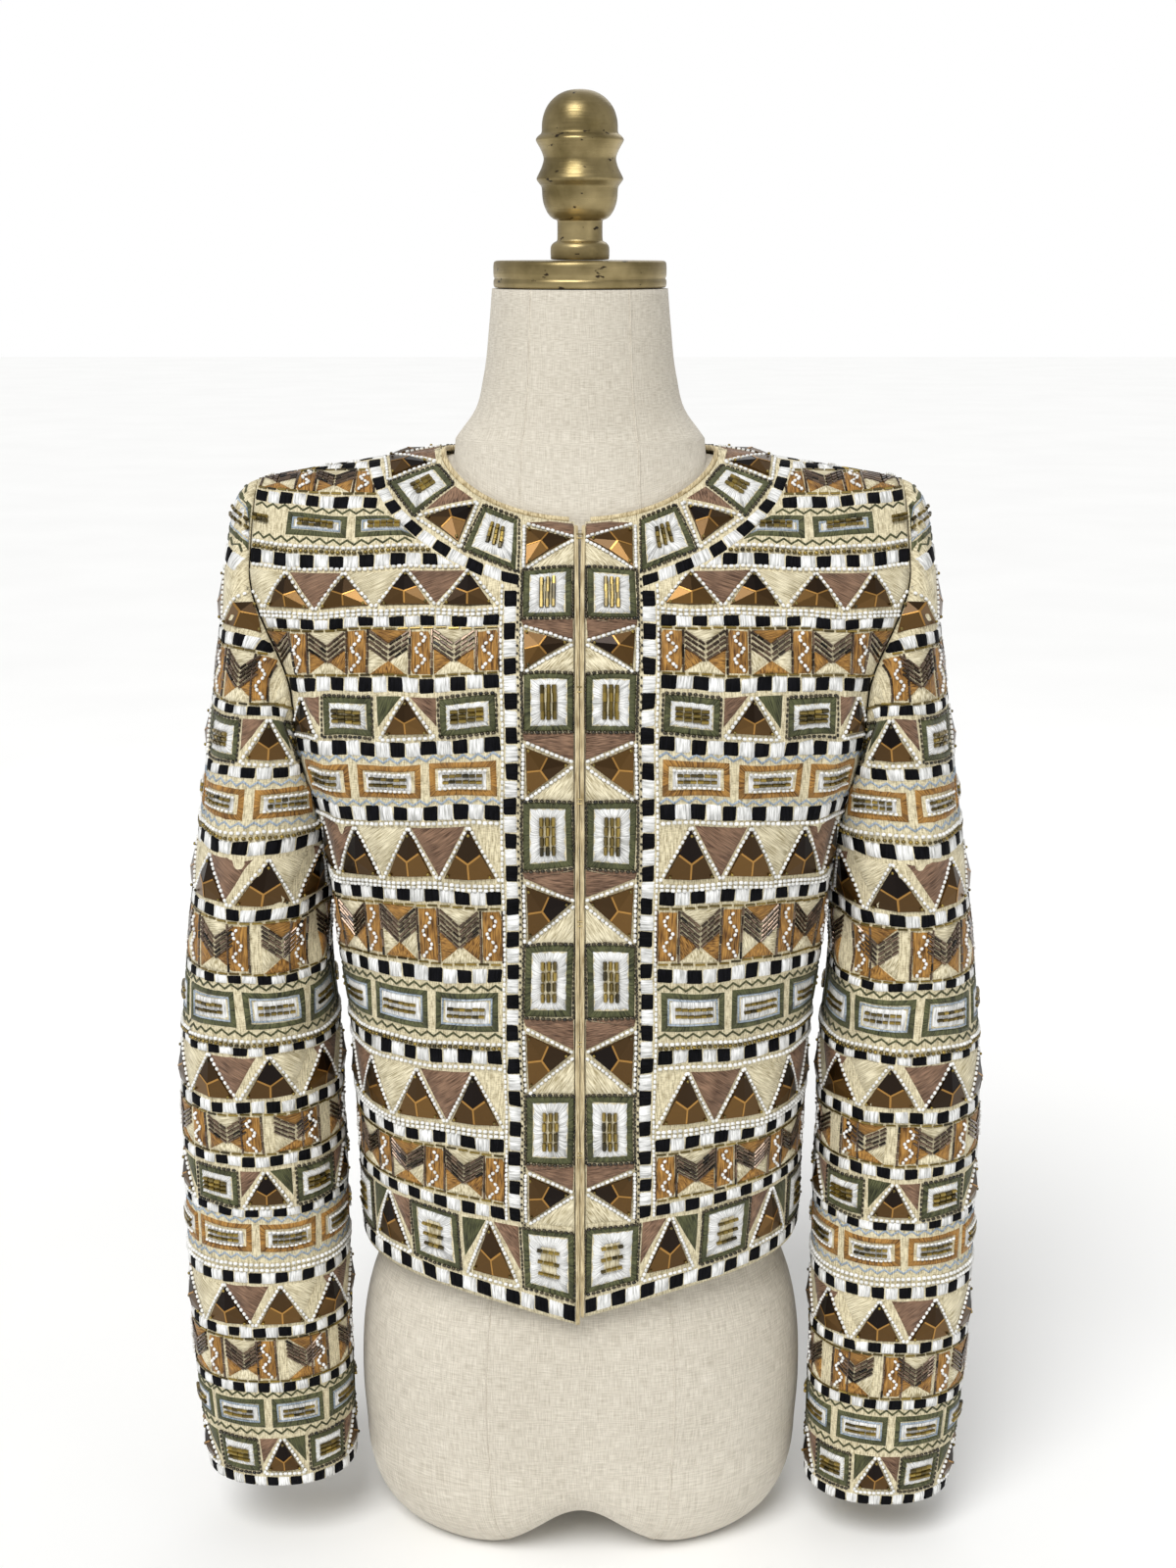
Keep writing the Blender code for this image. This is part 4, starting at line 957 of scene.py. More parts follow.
def wedge(width: float, height: float, rise: float) -> Motif:
    """A stitched triangle: an inner triangle raised off its sunk outline."""
    corners = np.eye(3)
    middles = (corners + np.roll(corners, -1, axis=0)) / 2
    outline = np.stack([corners, middles], 1).reshape(6, 3)
    inner = outline * 0.86 + 0.14 / 3
    weights = np.vstack([outline, inner, np.full((1, 3), 1 / 3)])
    heights = np.concatenate([np.full(6, SUNK), np.full(6, rise * 0.9), [rise]])
    fan = np.array([(6 + i, 6 + (i + 1) % 6, 12) for i in range(6)])
    faces = np.vstack([grid_faces(2, 6, True), fan])
    flat = weights @ np.array([(0.0, 0.0), (width, 0.0), (width / 2, height)])
    return Motif(weights, heights, faces, flat)


def frame_motif(width: float, height: float, outer: float, inner: float, rise: float,
                ragged: float = 0.0) -> Motif:
    """A stitched frame: a raised band between two rectangles.

    Args:
        width: Full width of the outline.
        height: Full height of the outline.
        outer: Distance of the band's outer edge inside the outline.
        inner: Distance of the band's inner edge inside the outline.
        rise: Height of the band.
        ragged: How far every second stitch falls short of the edges.

    Returns:
        The motif, its corners in order round the outline.
    """
    side = 8 if ragged else 4
    run = np.arange(side) / side
    path = np.concatenate([beside(run, 0 * run), beside(0 * run + 1, run),
                           beside(1 - run, 0 * run + 1), beside(0 * run, 1 - run)])
    shares = np.array([0.0, 0.25, 0.75, 1.0])
    short = ragged * (np.arange(4 * side) % 2) * (np.arange(4 * side) % side > 0)
    pull = np.array([1.0, 0.6, -0.6, -1.0])
    inset = (outer + (inner - outer) * shares)[:, None] + short[None] * pull[:, None]
    s = inset / width + path[None, :, 0] * (1 - 2 * inset / width)
    t = inset / height + path[None, :, 1] * (1 - 2 * inset / height)
    heights = np.repeat(np.array([SUNK, rise, rise, SUNK]), 4 * side)
    round_length = lengths(path * np.array([width, height]))
    stitch = beside(np.tile(round_length, len(shares)), inset.ravel())
    return Motif(square_weights(s.ravel(), t.ravel()), heights, grid_faces(4, 4 * side, True), stitch)


def stud_motif() -> Motif:
    """A pressed stud: flat kites that meet at a raised middle, with ridges between; each kite's tone is a
    painted shade and the ridges' tone a painted highlight.
    """
    corners = np.eye(3)
    after = np.roll(corners, -1, axis=0)
    middles = (corners + after) / 2
    outline = np.stack([corners, middles], 1).reshape(6, 3)
    hub = np.full((1, 3), 1 / 3)
    inner = outline * 0.97 + hub * 0.03
    across = (after - corners) * 0.017
    ends = inner[1::2] * 0.96 + hub * 0.04
    ridges = np.stack([hub - across, ends - across, ends + across, hub + across], 1).reshape(12, 3)
    weights = np.vstack([outline, inner, hub, ridges])
    bar_heights = np.tile([3.62, 2.1, 2.1, 3.62], 3)
    heights = np.concatenate([np.full(6, -0.2), np.tile([1.1, 1.9], 3), [3.4], bar_heights])
    kites = np.array([(6 + i, 6 + (i + 1) % 6, 12) for i in range(6)])
    bars = np.array([(13 + 4 * i + a, 13 + 4 * i + b, 13 + 4 * i + c)
                     for i in range(3) for a, b, c in ((0, 1, 2), (0, 2, 3))])
    # Painted light: each kite gets a fixed tone by its facing, one nearly black, as painted shade, and the
    # ridges a bright tone as painted highlight; the sunk walls keep a plain tone.
    tones = np.concatenate([np.full(12, 0.22), [0.24, 0.16, 0.16, 0.02, 0.02, 0.24], np.full(6, 0.85)])
    return Motif(weights, heights, np.vstack([grid_faces(2, 6, True), kites, bars]), weights[:, :2] * 30,
                 tones, smooth=False)


def bead_shape(tube: bool) -> tuple[Array, Array]:
    """A unit bead along x, of two rings of six and two poles: round, or a cut tube a little domed."""
    pole, middle, radius = (1.04, 1.0, 1.0) if tube else (1.0, 0.5, 0.86)
    turn = np.arange(6) * math.pi / 3
    ring = beside(0 * turn, np.cos(turn), np.sin(turn)) * radius
    points = np.vstack([(-pole, 0, 0), ring + (-middle, 0, 0), ring + (middle, 0, 0), (pole, 0, 0)])
    i = np.arange(6)
    j = (i + 1) % 6
    low = beside(0 * i, 1 + j, 1 + i)
    high = beside(0 * i + 13, 7 + i, 7 + j)
    wall = np.vstack([beside(1 + i, 1 + j, 7 + j), beside(1 + i, 7 + j, 7 + i)])
    return points, np.vstack([low, wall, high])


# Panels carry the layout


def sway(uv: Array) -> Array:
    """Pattern points moved a little, as hand-laid lines wander: sums of slow sines."""
    u, v = uv[:, 0], uv[:, 1]
    along_u = 0.5 * np.sin(v / 19.0 + u / 41.0)
    along_v = 0.75 * np.sin(u / 17.0 + v / 31.0) + 0.4 * np.sin(u / 7.3 - v / 13.0)
    return beside(u + along_u, v + along_v * np.clip((v - 190.0) / 30.0, 0.35, 1.0))


class Panel:
    """A cloth piece that work is sewn on: its chart, its limits and its side."""

    wander = 0.32
    bead_share = 0.46

    def __init__(self, chart: Chart, sign: float, seed: int) -> None:
        """Set up a panel.

        Args:
            chart: Where the cloth is worn.
            sign: -1 to wear the chart on the photograph's left.
            seed: Seed of the small differences between motifs.
        """
        self.chart = chart
        self.sign = sign
        self.random = np.random.default_rng(seed)
        self.stitches = Mesher()
        self.beads = Mesher()

    def warp(self, uv: Array) -> Array:
        """Pattern points as chart points."""
        return uv

    def holds(self, uv: Array) -> Array:
        """Which pattern points lie on the panel."""
        raise NotImplementedError

    def clip(self, uv: Array) -> Array:
        """Chart points drawn in to the panel's seams."""
        raise NotImplementedError

    def worn(self, uv: Array, heights: Array) -> Array:
        """Worn points of pattern points at heights above the cloth."""
        inside = self.clip(self.warp(sway(uv)))
        points = self.chart.at(inside) + self.chart.normal(inside) * heights[:, None]
        return points * np.array([self.sign, 1.0, 1.0])

    def wound(self, faces: Array) -> Array:
        """Triangles turned to face outwards on this side."""
        return faces if self.facing() > 0 else faces[:, ::-1]

    def facing(self) -> float:
        """1 if a shape wound from u to v faces outwards here."""
        return self.chart.outward * self.sign

    def sew(self, motif: Motif, corners: Array, finish: Enum) -> None:
        """Sew one motif at many places.

        Args:
            motif: The shape.
            corners: Corners of each copy, as copies by corners by (u, v).
            finish: A thread or bead finish.
        """
        corners = corners[self.holds(corners.mean(axis=1))]
        if not len(corners):
            return
        corners = corners + self.random.normal(0, self.wander, corners.shape)
        copies, size = len(corners), len(motif.weights)
        uv = np.einsum("kc,mcx->mkx", motif.weights, corners).reshape(-1, 2)
        heights = np.tile(motif.heights, copies)
        faces = (motif.faces[None] + (np.arange(copies) * size)[:, None, None]).reshape(-1, 3)
        shift = np.repeat(self.random.uniform(0, 400, (copies, 2)), size, 0)
        stitch = np.tile(motif.stitch, (copies, 1)) + shift
        tones = np.tile(np.broadcast_to(motif.tones, (len(motif.faces),)), copies)
        tones = np.clip(tones + np.repeat(self.random.normal(0, 0.06, copies), len(motif.faces)), 0, 1)
        target = self.stitches if isinstance(finish, Thread) else self.beads
        target.add(self.worn(uv, heights), self.wound(faces), slot_of(finish), stitch, tones, motif.smooth)

    def string(self, uv: Array, run: Array, radius: float, length: float, finish: Bead,
               lift: float = 0.0, tube: bool = False) -> None:
        """Sew beads at many places.

        Args:
            uv: Middle of each bead.
            run: Direction of each bead's hole, or one for all.
            radius: Bead radius.
            length: Half length along the hole.
            finish: Bead finish.
            lift: Height of the bead's foot above the cloth.
            tube: True for cut tubes.
        """
        uv = np.asarray(uv, float).reshape(-1, 2)
        run = np.broadcast_to(np.asarray(run, float), uv.shape)
        held = self.holds(uv)
        uv, run = uv[held], run[held]
        if not len(uv):
            return
        jitter = self.random.normal(0, 0.1, uv.shape)
        middle = self.clip(self.warp(sway(uv + jitter)))
        ahead = unit(self.chart.at(middle + run * 0.5) - self.chart.at(middle - run * 0.5))
        up = self.chart.normal(middle)
        across = np.cross(up, ahead)
        shape, faces = bead_shape(tube)
        size = radius * self.random.uniform(0.9, 1.08, len(uv))
        centre = self.chart.at(middle) + up * (lift + radius * 0.8)
        points = (centre[:, None]
                  + shape[None, :, 0:1] * length * ahead[:, None]
                  + shape[None, :, 1:2] * size[:, None, None] * across[:, None]
                  + shape[None, :, 2:3] * size[:, None, None] * up[:, None])
        all_faces = (faces[None] + (np.arange(len(uv)) * len(shape))[:, None, None]).reshape(-1, 3)
        if self.sign < 0:
            all_faces = all_faces[:, ::-1]
        tones = np.repeat(np.clip(self.random.normal(0.5, 0.28, len(uv)), 0, 1), len(faces))
        points = points.reshape(-1, 3) * np.array([self.sign, 1.0, 1.0])
        self.beads.add(points, all_faces, slot_of(finish), None, tones, not tube)

    def bead_lines(self, starts: Array, ends: Array, pitch: float, radius: float,
                   finish: Bead, lift: float = 0.0) -> None:
        """Sew straight rows of beads between pairs of points.

        Args:
            starts: First point of each row.
            ends: Last point of each row.
            pitch: Distance from bead to bead.
            radius: Bead radius.
            finish: Bead finish.
            lift: Height above the cloth.
        """
        starts = np.asarray(starts, float).reshape(-1, 2)
        ends = np.asarray(ends, float).reshape(-1, 2)
        size = np.linalg.norm(ends - starts, axis=1)
        count = max(1, int(round(size.max() / pitch)))
        share = (np.arange(count) + 0.5) / count
        uv = starts[:, None] + (ends - starts)[:, None] * share[None, :, None]
        run = np.repeat(unit(ends - starts)[:, None], count, 1)
        self.string(uv.reshape(-1, 2), run.reshape(-1, 2), radius, pitch * self.bead_share, finish, lift)

    def cord_line(self, line: Array, width: float, rise: float, finish: Thread) -> None:
        """Sew a thread along a line: a roof of three points across it.

        Args:
            line: Points of the line.
            width: Full width of the thread.
            rise: Height of the thread.
            finish: Thread finish.
        """
        run = unit(np.gradient(line, axis=0))
        side = beside(-run[:, 1], run[:, 0]) * width / 2
        uv = np.stack([line + side, line, line - side], 1)
        held = self.holds(line)
        faces = grid_faces(len(line), 3)
        whole = held[faces[:, 0] // 3] & held[faces[:, 1] // 3] & held[faces[:, 2] // 3]
        heights = np.tile([-0.1, rise, -0.1], len(line))
        measure = lengths(line)
        stitch = beside(np.repeat(measure, 3), np.tile([0.0, 1.0, 2.0], len(line)))
        self.stitches.add(self.worn(uv.reshape(-1, 2), heights), self.wound(faces[whole]),
                          slot_of(finish), stitch)


class HalfPanel(Panel):
    """One front, or one half of the back, with its hem, seams and neckline."""

    def __init__(self, chart: BodyChart, side: str, first_u: float, hem_v: float, seed: int) -> None:
        """Set up a half.

        Args:
            chart: Front or back chart.
            side: "left" or "right".
            first_u: Where the half starts from the centre line.
            hem_v: Height of the hem.
            seed: Seed of the small differences.
        """
        super().__init__(chart, SIDES[side], seed)
        self.first_u = first_u
        self.hem_v = hem_v
        self.neck = chart.neckline(60)
        self.neck_fine = even_line(self.neck, 70)
        self.neck_limit = RING_LIMIT
        self.lifted_hem = side == "right" and chart.side == "front"

    def warp(self, uv: Array) -> Array:
        """Pattern points as chart points; the right front's hem sits a little higher."""
        if not self.lifted_hem:
            return uv
        return uv + beside(0 * uv[:, 0], 5.0 * np.clip((300 - uv[:, 1]) / 120, 0, 1))

    def from_neck(self, uv: Array) -> tuple[Array, Array]:
        """Distance to the neckline, below 0 inside it, and the nearest point there."""
        gaps = np.linalg.norm(uv[:, None] - self.neck_fine[None], axis=2)
        nearest = gaps.argmin(axis=1)
        line = self.neck_fine[::-1]
        level = np.interp(uv[:, 0], line[:, 0], line[:, 1])
        inside = (uv[:, 1] > level) & (uv[:, 0] < line[-1, 0])
        gap = gaps[np.arange(len(uv)), nearest]
        return np.where(inside, -gap, gap), self.neck_fine[nearest]

    def holds(self, uv: Array) -> Array:
        """Points between the centre, the hem, the side seam, the shoulder and the neck ring."""
        at = self.warp(uv)
        level = (at[:, 1] >= self.hem_v + 0.5) & (at[:, 1] <= self.chart.ridge_at(at[:, 0]) - 1.2)
        across = (at[:, 0] >= self.first_u - 0.1) & (at[:, 0] <= self.chart.edge_at(at[:, 1]) - 1.2)
        return level & across & (self.from_neck(at)[0] >= self.neck_limit - 0.2)

    def clip(self, uv: Array) -> Array:
        """Draw points in to the limits, and out to the edge of the neck ring."""
        u = np.maximum(uv[:, 0], self.first_u)
        v = np.clip(uv[:, 1], self.hem_v + 0.4, self.chart.ridge_at(u) - 0.6)
        u = np.minimum(u, self.chart.edge_at(v) - 0.6)
        drawn = beside(u, v)
        gap, near = self.from_neck(drawn)
        away = unit(drawn - near) * np.where(gap < 0, -1.0, 1.0)[:, None]
        return np.where((gap < self.neck_limit)[:, None], near + away * self.neck_limit, drawn)


class SleevePanel(Panel):
    """A whole sleeve, from its cuff up to the armhole."""

    def __init__(self, chart: SleeveChart, side: str, seed: int) -> None:
        """Set up the left or right sleeve."""
        super().__init__(chart, SIDES[side], seed)
        self.cuff_v = CUFF_V[side]
        self.drop = 14.0 if side == "right" else 0.0

    def warp(self, uv: Array) -> Array:
        """Pattern points as chart points, set lower towards the right cuff."""
        return uv - beside(0 * uv[:, 0], self.drop * np.clip((560 - uv[:, 1]) / 500, 0, 1))

    def holds(self, uv: Array) -> Array:
        """Points between the cuff and the armhole, once round."""
        at = self.warp(uv)
        level = (at[:, 1] >= self.cuff_v + 0.4) & (at[:, 1] <= self.chart.top_at(at[:, 0]) - 1.5)
        return level & (at[:, 0] >= -0.1) & (at[:, 0] <= self.chart.around + 0.1)

    def clip(self, uv: Array) -> Array:
        """Draw points in to the cuff and the armhole."""
        v = np.clip(uv[:, 1], self.cuff_v + 0.4, self.chart.top_at(uv[:, 0]) - 0.8)
        return beside(uv[:, 0], v)


# Needlework


class Cells:
    """Four-cornered fields of a panel that work is laid out in, by shares of each field."""

    def __init__(self, panel: Panel, corners: Array) -> None:
        """Set up the fields.

        Args:
            panel: The panel they lie on.
            corners: Fields by four corners by (u, v), in order round each field.
        """
        self.panel = panel
        self.corners = np.asarray(corners, float).reshape(-1, 4, 2)
        self.width = float(np.linalg.norm(self.corners[:, 1] - self.corners[:, 0], axis=1).mean())
        self.height = float(np.linalg.norm(self.corners[:, 3] - self.corners[:, 0], axis=1).mean())

    def spots(self, places: Sequence) -> Array:
        """Points at shares (s, t) of every field."""
        places = np.asarray(places, float).reshape(-1, 2)
        return np.einsum("kc,mcx->mkx", square_weights(places[:, 0], places[:, 1]), self.corners)

    def lay(self, motif: Motif, places: Sequence, finish: Enum) -> None:
        """Sew a motif in every field with its corners at shares of the field."""
        self.panel.sew(motif, self.spots(places), finish)

    def block(self, low: Sequence[float], high: Sequence[float], rise: float, finish: Thread) -> None:
        """Sew a stitched block between two shares of the field."""
        motif = pillow((high[0] - low[0]) * self.width, (high[1] - low[1]) * self.height, rise)
        self.lay(motif, [low, (high[0], low[1]), high, (low[0], high[1])], finish)

    def triangle(self, places: Sequence, finish: Thread, rise: float = 0.7) -> None:
        """Sew a stitched triangle at three shares, in order round it."""
        self.lay(wedge(self.width, self.height, rise), places, finish)

    def row(self, start: Sequence[float], end: Sequence[float], pitch: float, radius: float,
            finish: Bead, lift: float = 0.0) -> None:
        """Sew a row of beads between two shares of every field."""
        ends = self.spots([start, end])
        self.panel.bead_lines(ends[:, 0], ends[:, 1], pitch, radius, finish, lift)

    def white_rows(self, ends: Sequence, pitch: float = 3.2) -> None:
        """Sew rows of white beads between pairs of shares."""
        for start, end in ends:
            self.row(start, end, pitch, 1.2, Bead.WHITE)

    def tubes(self, start: Sequence[float], end: Sequence[float], count: int, radius: float,
              finish: Bead, lift: float = 0.0) -> None:
        """Sew a row of cut tubes between two shares of every field."""
        ends = self.spots([start, end])
        share = (np.arange(count) + 0.5) / count
        step = ends[:, 1] - ends[:, 0]
        size = float(np.linalg.norm(step, axis=1).mean())
        uv = ends[:, :1] + step[:, None] * share[None, :, None]
        run = np.repeat(unit(step)[:, None], count, 1)
        self.panel.string(uv.reshape(-1, 2), run.reshape(-1, 2), radius, size / count * 0.44, finish,
                          lift, tube=True)

    def framed_square(self, upright: bool) -> None:
        """An olive frame round thick white stitches and three rows of gold beads.

        Args:
            upright: True if the rows of gold beads run up the field.
        """
        w, h = self.width, self.height
        whole = [(0, 0), (1, 0), (1, 1), (0, 1)]
        depth = min(w, h)
        self.lay(frame_motif(w, h, 0.9, 5.0, 0.9), whole, Thread.OLIVE)
        self.lay(frame_motif(w, h, 4.4, depth * 0.40, 1.4, 0.9), whole, Thread.WHITE)
        s0, t0 = depth * 0.33 / w, depth * 0.33 / h
        self.block((s0, t0), (1 - s0, 1 - t0), 1.0, Thread.CREAM)
        for share in (0.16, 0.5, 0.84):
            if upright:
                place = s0 + (1 - 2 * s0) * share
                self.tubes((place, t0 * 0.9), (place, 1 - t0 * 0.9), 4, 1.25, Bead.GOLD, 0.9)
            else:
                place = t0 + (1 - 2 * t0) * share
                self.tubes((s0 * 0.9, place), (1 - s0 * 0.9, place), 4, 1.25, Bead.GOLD, 0.9)
        for level in (0.01, 0.99):
            self.row((0.02, level), (0.98, level), 3.3, 1.1, Bead.DARK)
            self.row((level, 0.0), (level, 1.0), 3.0, 0.8, Bead.DARK)

    def stud(self, places: Sequence, inset: float = 0.1) -> None:
        """A pressed stud inside three shares of the field, with a bead at each corner."""
        spots = self.spots(places)
        middle = spots.mean(axis=1, keepdims=True)
        self.panel.sew(stud_motif(), spots + (middle - spots) * inset, Bead.STUD)
        corners = (spots + (middle - spots) * (inset + 0.17)).reshape(-1, 2)
        self.panel.string(corners, (1.0, 0.0), 1.15, 1.0, Bead.GOLD, 1.3)


@dataclass
class Bands:
    """The level bands of work on one panel."""

    panel: Panel
    first: float
    last: float
    closed: bool

    def cells(self, pitch: float, v0: float, v1: float, share: float = 0.0,
              width: float | None = None) -> Cells:
        """Fields of one band.

        Args:
            pitch: Distance between fields; a closed band takes the nearest whole count.
            v0: Bottom of the band.
            v1: Top of the band.
            share: Start of the field inside its pitch, as a share of the pitch.
            width: Width of the field, or None for the whole pitch.

        Returns:
            The fields.
        """
        if self.closed:
            count = round((self.last - self.first) / pitch)
            real = (self.last - self.first) / count
            width = None if width is None else width * real / pitch
        else:
            real = pitch
            count = int((self.last - self.first) / pitch) + 2
        left = self.first + (np.arange(count) + share) * real
        right = left + (real if width is None else width)
        return Cells(self.panel, boxes(left, right, v0, v1))

    def line(self, v: float, pitch: float, radius: float, finish: Bead) -> None:
        """One level row of beads."""
        self.panel.bead_lines([(self.first, v)], [(self.last, v)], pitch, radius, finish)

    def lines(self, v0: float, v1: float, finishes: Sequence[Bead]) -> None:
        """Level rows of beads that share the height between v0 and v1."""
        for k, finish in enumerate(finishes):
            v = v0 + (v1 - v0) * (k + 0.5) / len(finishes)
            self.line(v, 3.4, min(1.35, 0.52 * (v1 - v0) / len(finishes)), finish)

    def checker(self, v0: float, v1: float, pitch: float = 18.6) -> None:
        """Black and white stitched blocks in turn."""
        low, high = v0 - 0.7, v1 + 0.7
        self.cells(pitch, low, high, 0.0, pitch * 0.5).block((0, 0), (1, 1), 1.1, Thread.BLACK)
        self.cells(pitch, low, high, 0.5, pitch * 0.5).block((0, 0), (1, 1), 1.4, Thread.WHITE)

    def squares(self, v0: float, v1: float, pitch: float = 73.0, width: float = 34.0) -> None:
        """Framed squares with a pressed stud between each two."""
        v0, v1 = v0 + 1.0, v1 - 1.0
        self.cells(pitch, v0, v1, 0.02, width).framed_square(False)
        between = self.cells(pitch, v0, v1, (width + 2.5) / pitch, pitch - width - 3.5)
        between.triangle([(0.0, 1.0), (0.0, 0.25), (0.44, 1.0)], Thread.TAUPE)
        between.triangle([(1.0, 1.0), (0.56, 1.0), (1.0, 0.25)], Thread.OLIVE)
        between.stud([(0.10, 0.08), (0.90, 0.08), (0.5, 0.96)], 0.05)
        between.white_rows((((0.03, 0.0), (0.48, 1.0)), ((0.97, 0.0), (0.52, 1.0)),
                            ((0.05, 0.0), (0.95, 0.0))))

    def triangles(self, v0: float, v1: float, pitch: float = 37.0) -> None:
        """Upright pressed studs with taupe and cream triangles hanging between them."""
        cells = self.cells(pitch, v0, v1)
        cells.stud([(0.07, 0.03), (0.93, 0.03), (0.5, 0.97)], 0.05)
        cells.white_rows((((0.01, 0.0), (0.5, 1.0)), ((0.99, 0.0), (0.5, 1.0))), 3.1)
        hanging = self.cells(pitch * 2, v0, v1, 0.0, pitch * 2)
        hanging.triangle([(0.50, 0.03), (0.73, 1.0), (0.27, 1.0)], Thread.TAUPE, 1.0)
        hanging.triangle([(0.995, 0.03), (1.23, 1.0), (0.77, 1.0)], Thread.CREAM, 1.0)

    def chevrons(self, v0: float, v1: float, pitch: float = 39.0) -> None:
        """Tube-bead arrows over split triangles, with a squiggled bar between each two."""
        bar = self.cells(pitch, v0, v1, 0.0, 12.5)
        bar.block((0, 0.02), (1, 0.98), 0.9, Thread.MUSTARD)
        bar.tubes((-0.03, 0.02), (-0.03, 0.98), 6, 0.75, Bead.BRONZE)
        bar.tubes((1.03, 0.02), (1.03, 0.98), 6, 0.75, Bead.BRONZE)
        wave = np.linspace(0.08, 0.92, 12)
        swing = 0.5 + 0.24 * np.sin(wave * 14.0)
        for k in range(len(wave) - 1):
            bar.row((swing[k], wave[k]), (swing[k + 1], wave[k + 1]), 2.9, 1.15, Bead.WHITE, 0.8)
        schemes = ((0.0, Thread.CREAM, Thread.MUSTARD), (1.0, Thread.MUSTARD, Thread.CREAM))
        for turn, main, sides in schemes:
            cell = self.cells(pitch * 2, v0, v1, (turn * pitch + 13.4) / (pitch * 2), pitch - 14.2)
            cell.triangle([(0.02, 0.99), (0.5, 0.66), (0.98, 0.99)], main)
            cell.triangle([(0.02, 0.01), (0.98, 0.01), (0.5, 0.30)], main)
            cell.triangle([(0.02, 0.03), (0.49, 0.31), (0.02, 0.56)], sides)
            cell.triangle([(0.98, 0.03), (0.98, 0.56), (0.51, 0.31)], sides)
            rows = 5 if cell.height > 28.0 else 4
            for k in range(rows):
                drop = k * 0.36 / (rows - 1)
                cell.tubes((0.02, 0.95 - drop), (0.485, 0.65 - drop), 3, 0.85, Bead.BRONZE)
                cell.tubes((0.98, 0.95 - drop), (0.515, 0.65 - drop), 3, 0.85, Bead.BRONZE)
        for v in (v0 - 0.3, v1 + 0.3):
            self.cells(7.5, v, v + 0.1).tubes((0.05, 0.5), (0.95, 0.5), 1, 0.7, Bead.GOLD)

    def rectangles(self, v0: float, v1: float, frame: Thread, zigzag: Thread, pitch: float = 45.0) -> None:
        """Framed rectangles with rows of gold beads between two zigzag threads."""
        edge = 4.6
        cells = self.cells(pitch, v0 + edge, v1 - edge, 0.04, pitch - 4.5)
        w, h = cells.width, cells.height
        whole = [(0, 0), (1, 0), (1, 1), (0, 1)]
        cells.lay(frame_motif(w, h, 0.2, 4.2, 1.0), whole, frame)
        if frame is Thread.OLIVE:
            cells.lay(frame_motif(w, h, 4.0, 5.4, 0.9), whole, Thread.BLUE_GREY)
        cells.block((5.4 / w, 5.0 / h), (1 - 5.4 / w, 1 - 5.0 / h), 0.9, Thread.WHITE)
        s0, t0 = 5.6 / w, 5.4 / h
        if frame is Thread.MUSTARD:
            cells.row((s0, t0), (1 - s0, t0), 2.9, 1.0, Bead.WHITE, 0.8)
            cells.row((s0, 1 - t0), (1 - s0, 1 - t0), 2.9, 1.0, Bead.WHITE, 0.8)
        for t in (0.42, 0.60):
            cells.tubes((s0 * 1.5, t), (1 - s0 * 1.5, t), 6, 1.15, Bead.GOLD, 0.8)
        for v in (v0, v1 - 3.8):
            count = int((self.last - self.first) / 4.2)
            u = np.linspace(self.first, self.last, count)
            line = beside(u, v + 0.4 + 3.0 * (np.arange(count) % 2))
            self.panel.cord_line(line, 1.8, 1.0, zigzag)


class BandKind(Enum):
    """The kinds of level band."""

    CHECKER = "checker"
    SQUARES = "squares"
    TRIANGLES = "triangles"
    CHEVRONS = "chevrons"
    MUSTARD_BOXES = "mustard boxes"
    OLIVE_BOXES = "olive boxes"
    WHITE_LINES = "white lines"
    WHITE_LINE = "white line"
    GILT_LINES = "gilt lines"


(CHECKER, SQUARES, TRIANGLES, CHEVRONS, MUSTARD_BOXES, OLIVE_BOXES,
 WHITE_LINES, WHITE_LINE, GILT_LINES) = BandKind
BANDS_START_U = 46.0
BANDS_END_U = 246.0
HEM_BANDS = ((CHECKER, 178.5, 187.5), (SQUARES, 190, 238))
BODY_BANDS = (
    (CHECKER, 240, 248), (CHEVRONS, 252, 287),
    (CHECKER, 290, 298), (WHITE_LINES, 299, 305), (TRIANGLES, 306, 342), (WHITE_LINE, 343.5, 347),
    (CHECKER, 348, 356), (GILT_LINES, 357, 362.5), (OLIVE_BOXES, 364, 399), (CHECKER, 401, 409),
    (CHEVRONS, 413, 448), (CHECKER, 451, 458), (WHITE_LINES, 458.5, 463.5), (TRIANGLES, 464.5, 498),
    (WHITE_LINE, 499, 502), (CHECKER, 502.5, 511), (MUSTARD_BOXES, 512, 542.5),
    (CHECKER, 543, 550.5), (SQUARES, 552, 578), (CHECKER, 580, 587), (CHEVRONS, 589, 615.5),
    (CHECKER, 617.5, 622.5), (WHITE_LINES, 623, 627.5), (TRIANGLES, 628.5, 651),
    (WHITE_LINE, 651.5, 654), (CHECKER, 654.5, 661.5), (GILT_LINES, 662, 668),
    (OLIVE_BOXES, 669, 694), (CHECKER, 695, 703), (CHEVRONS, 706, 729), (CHECKER, 731, 740),
)
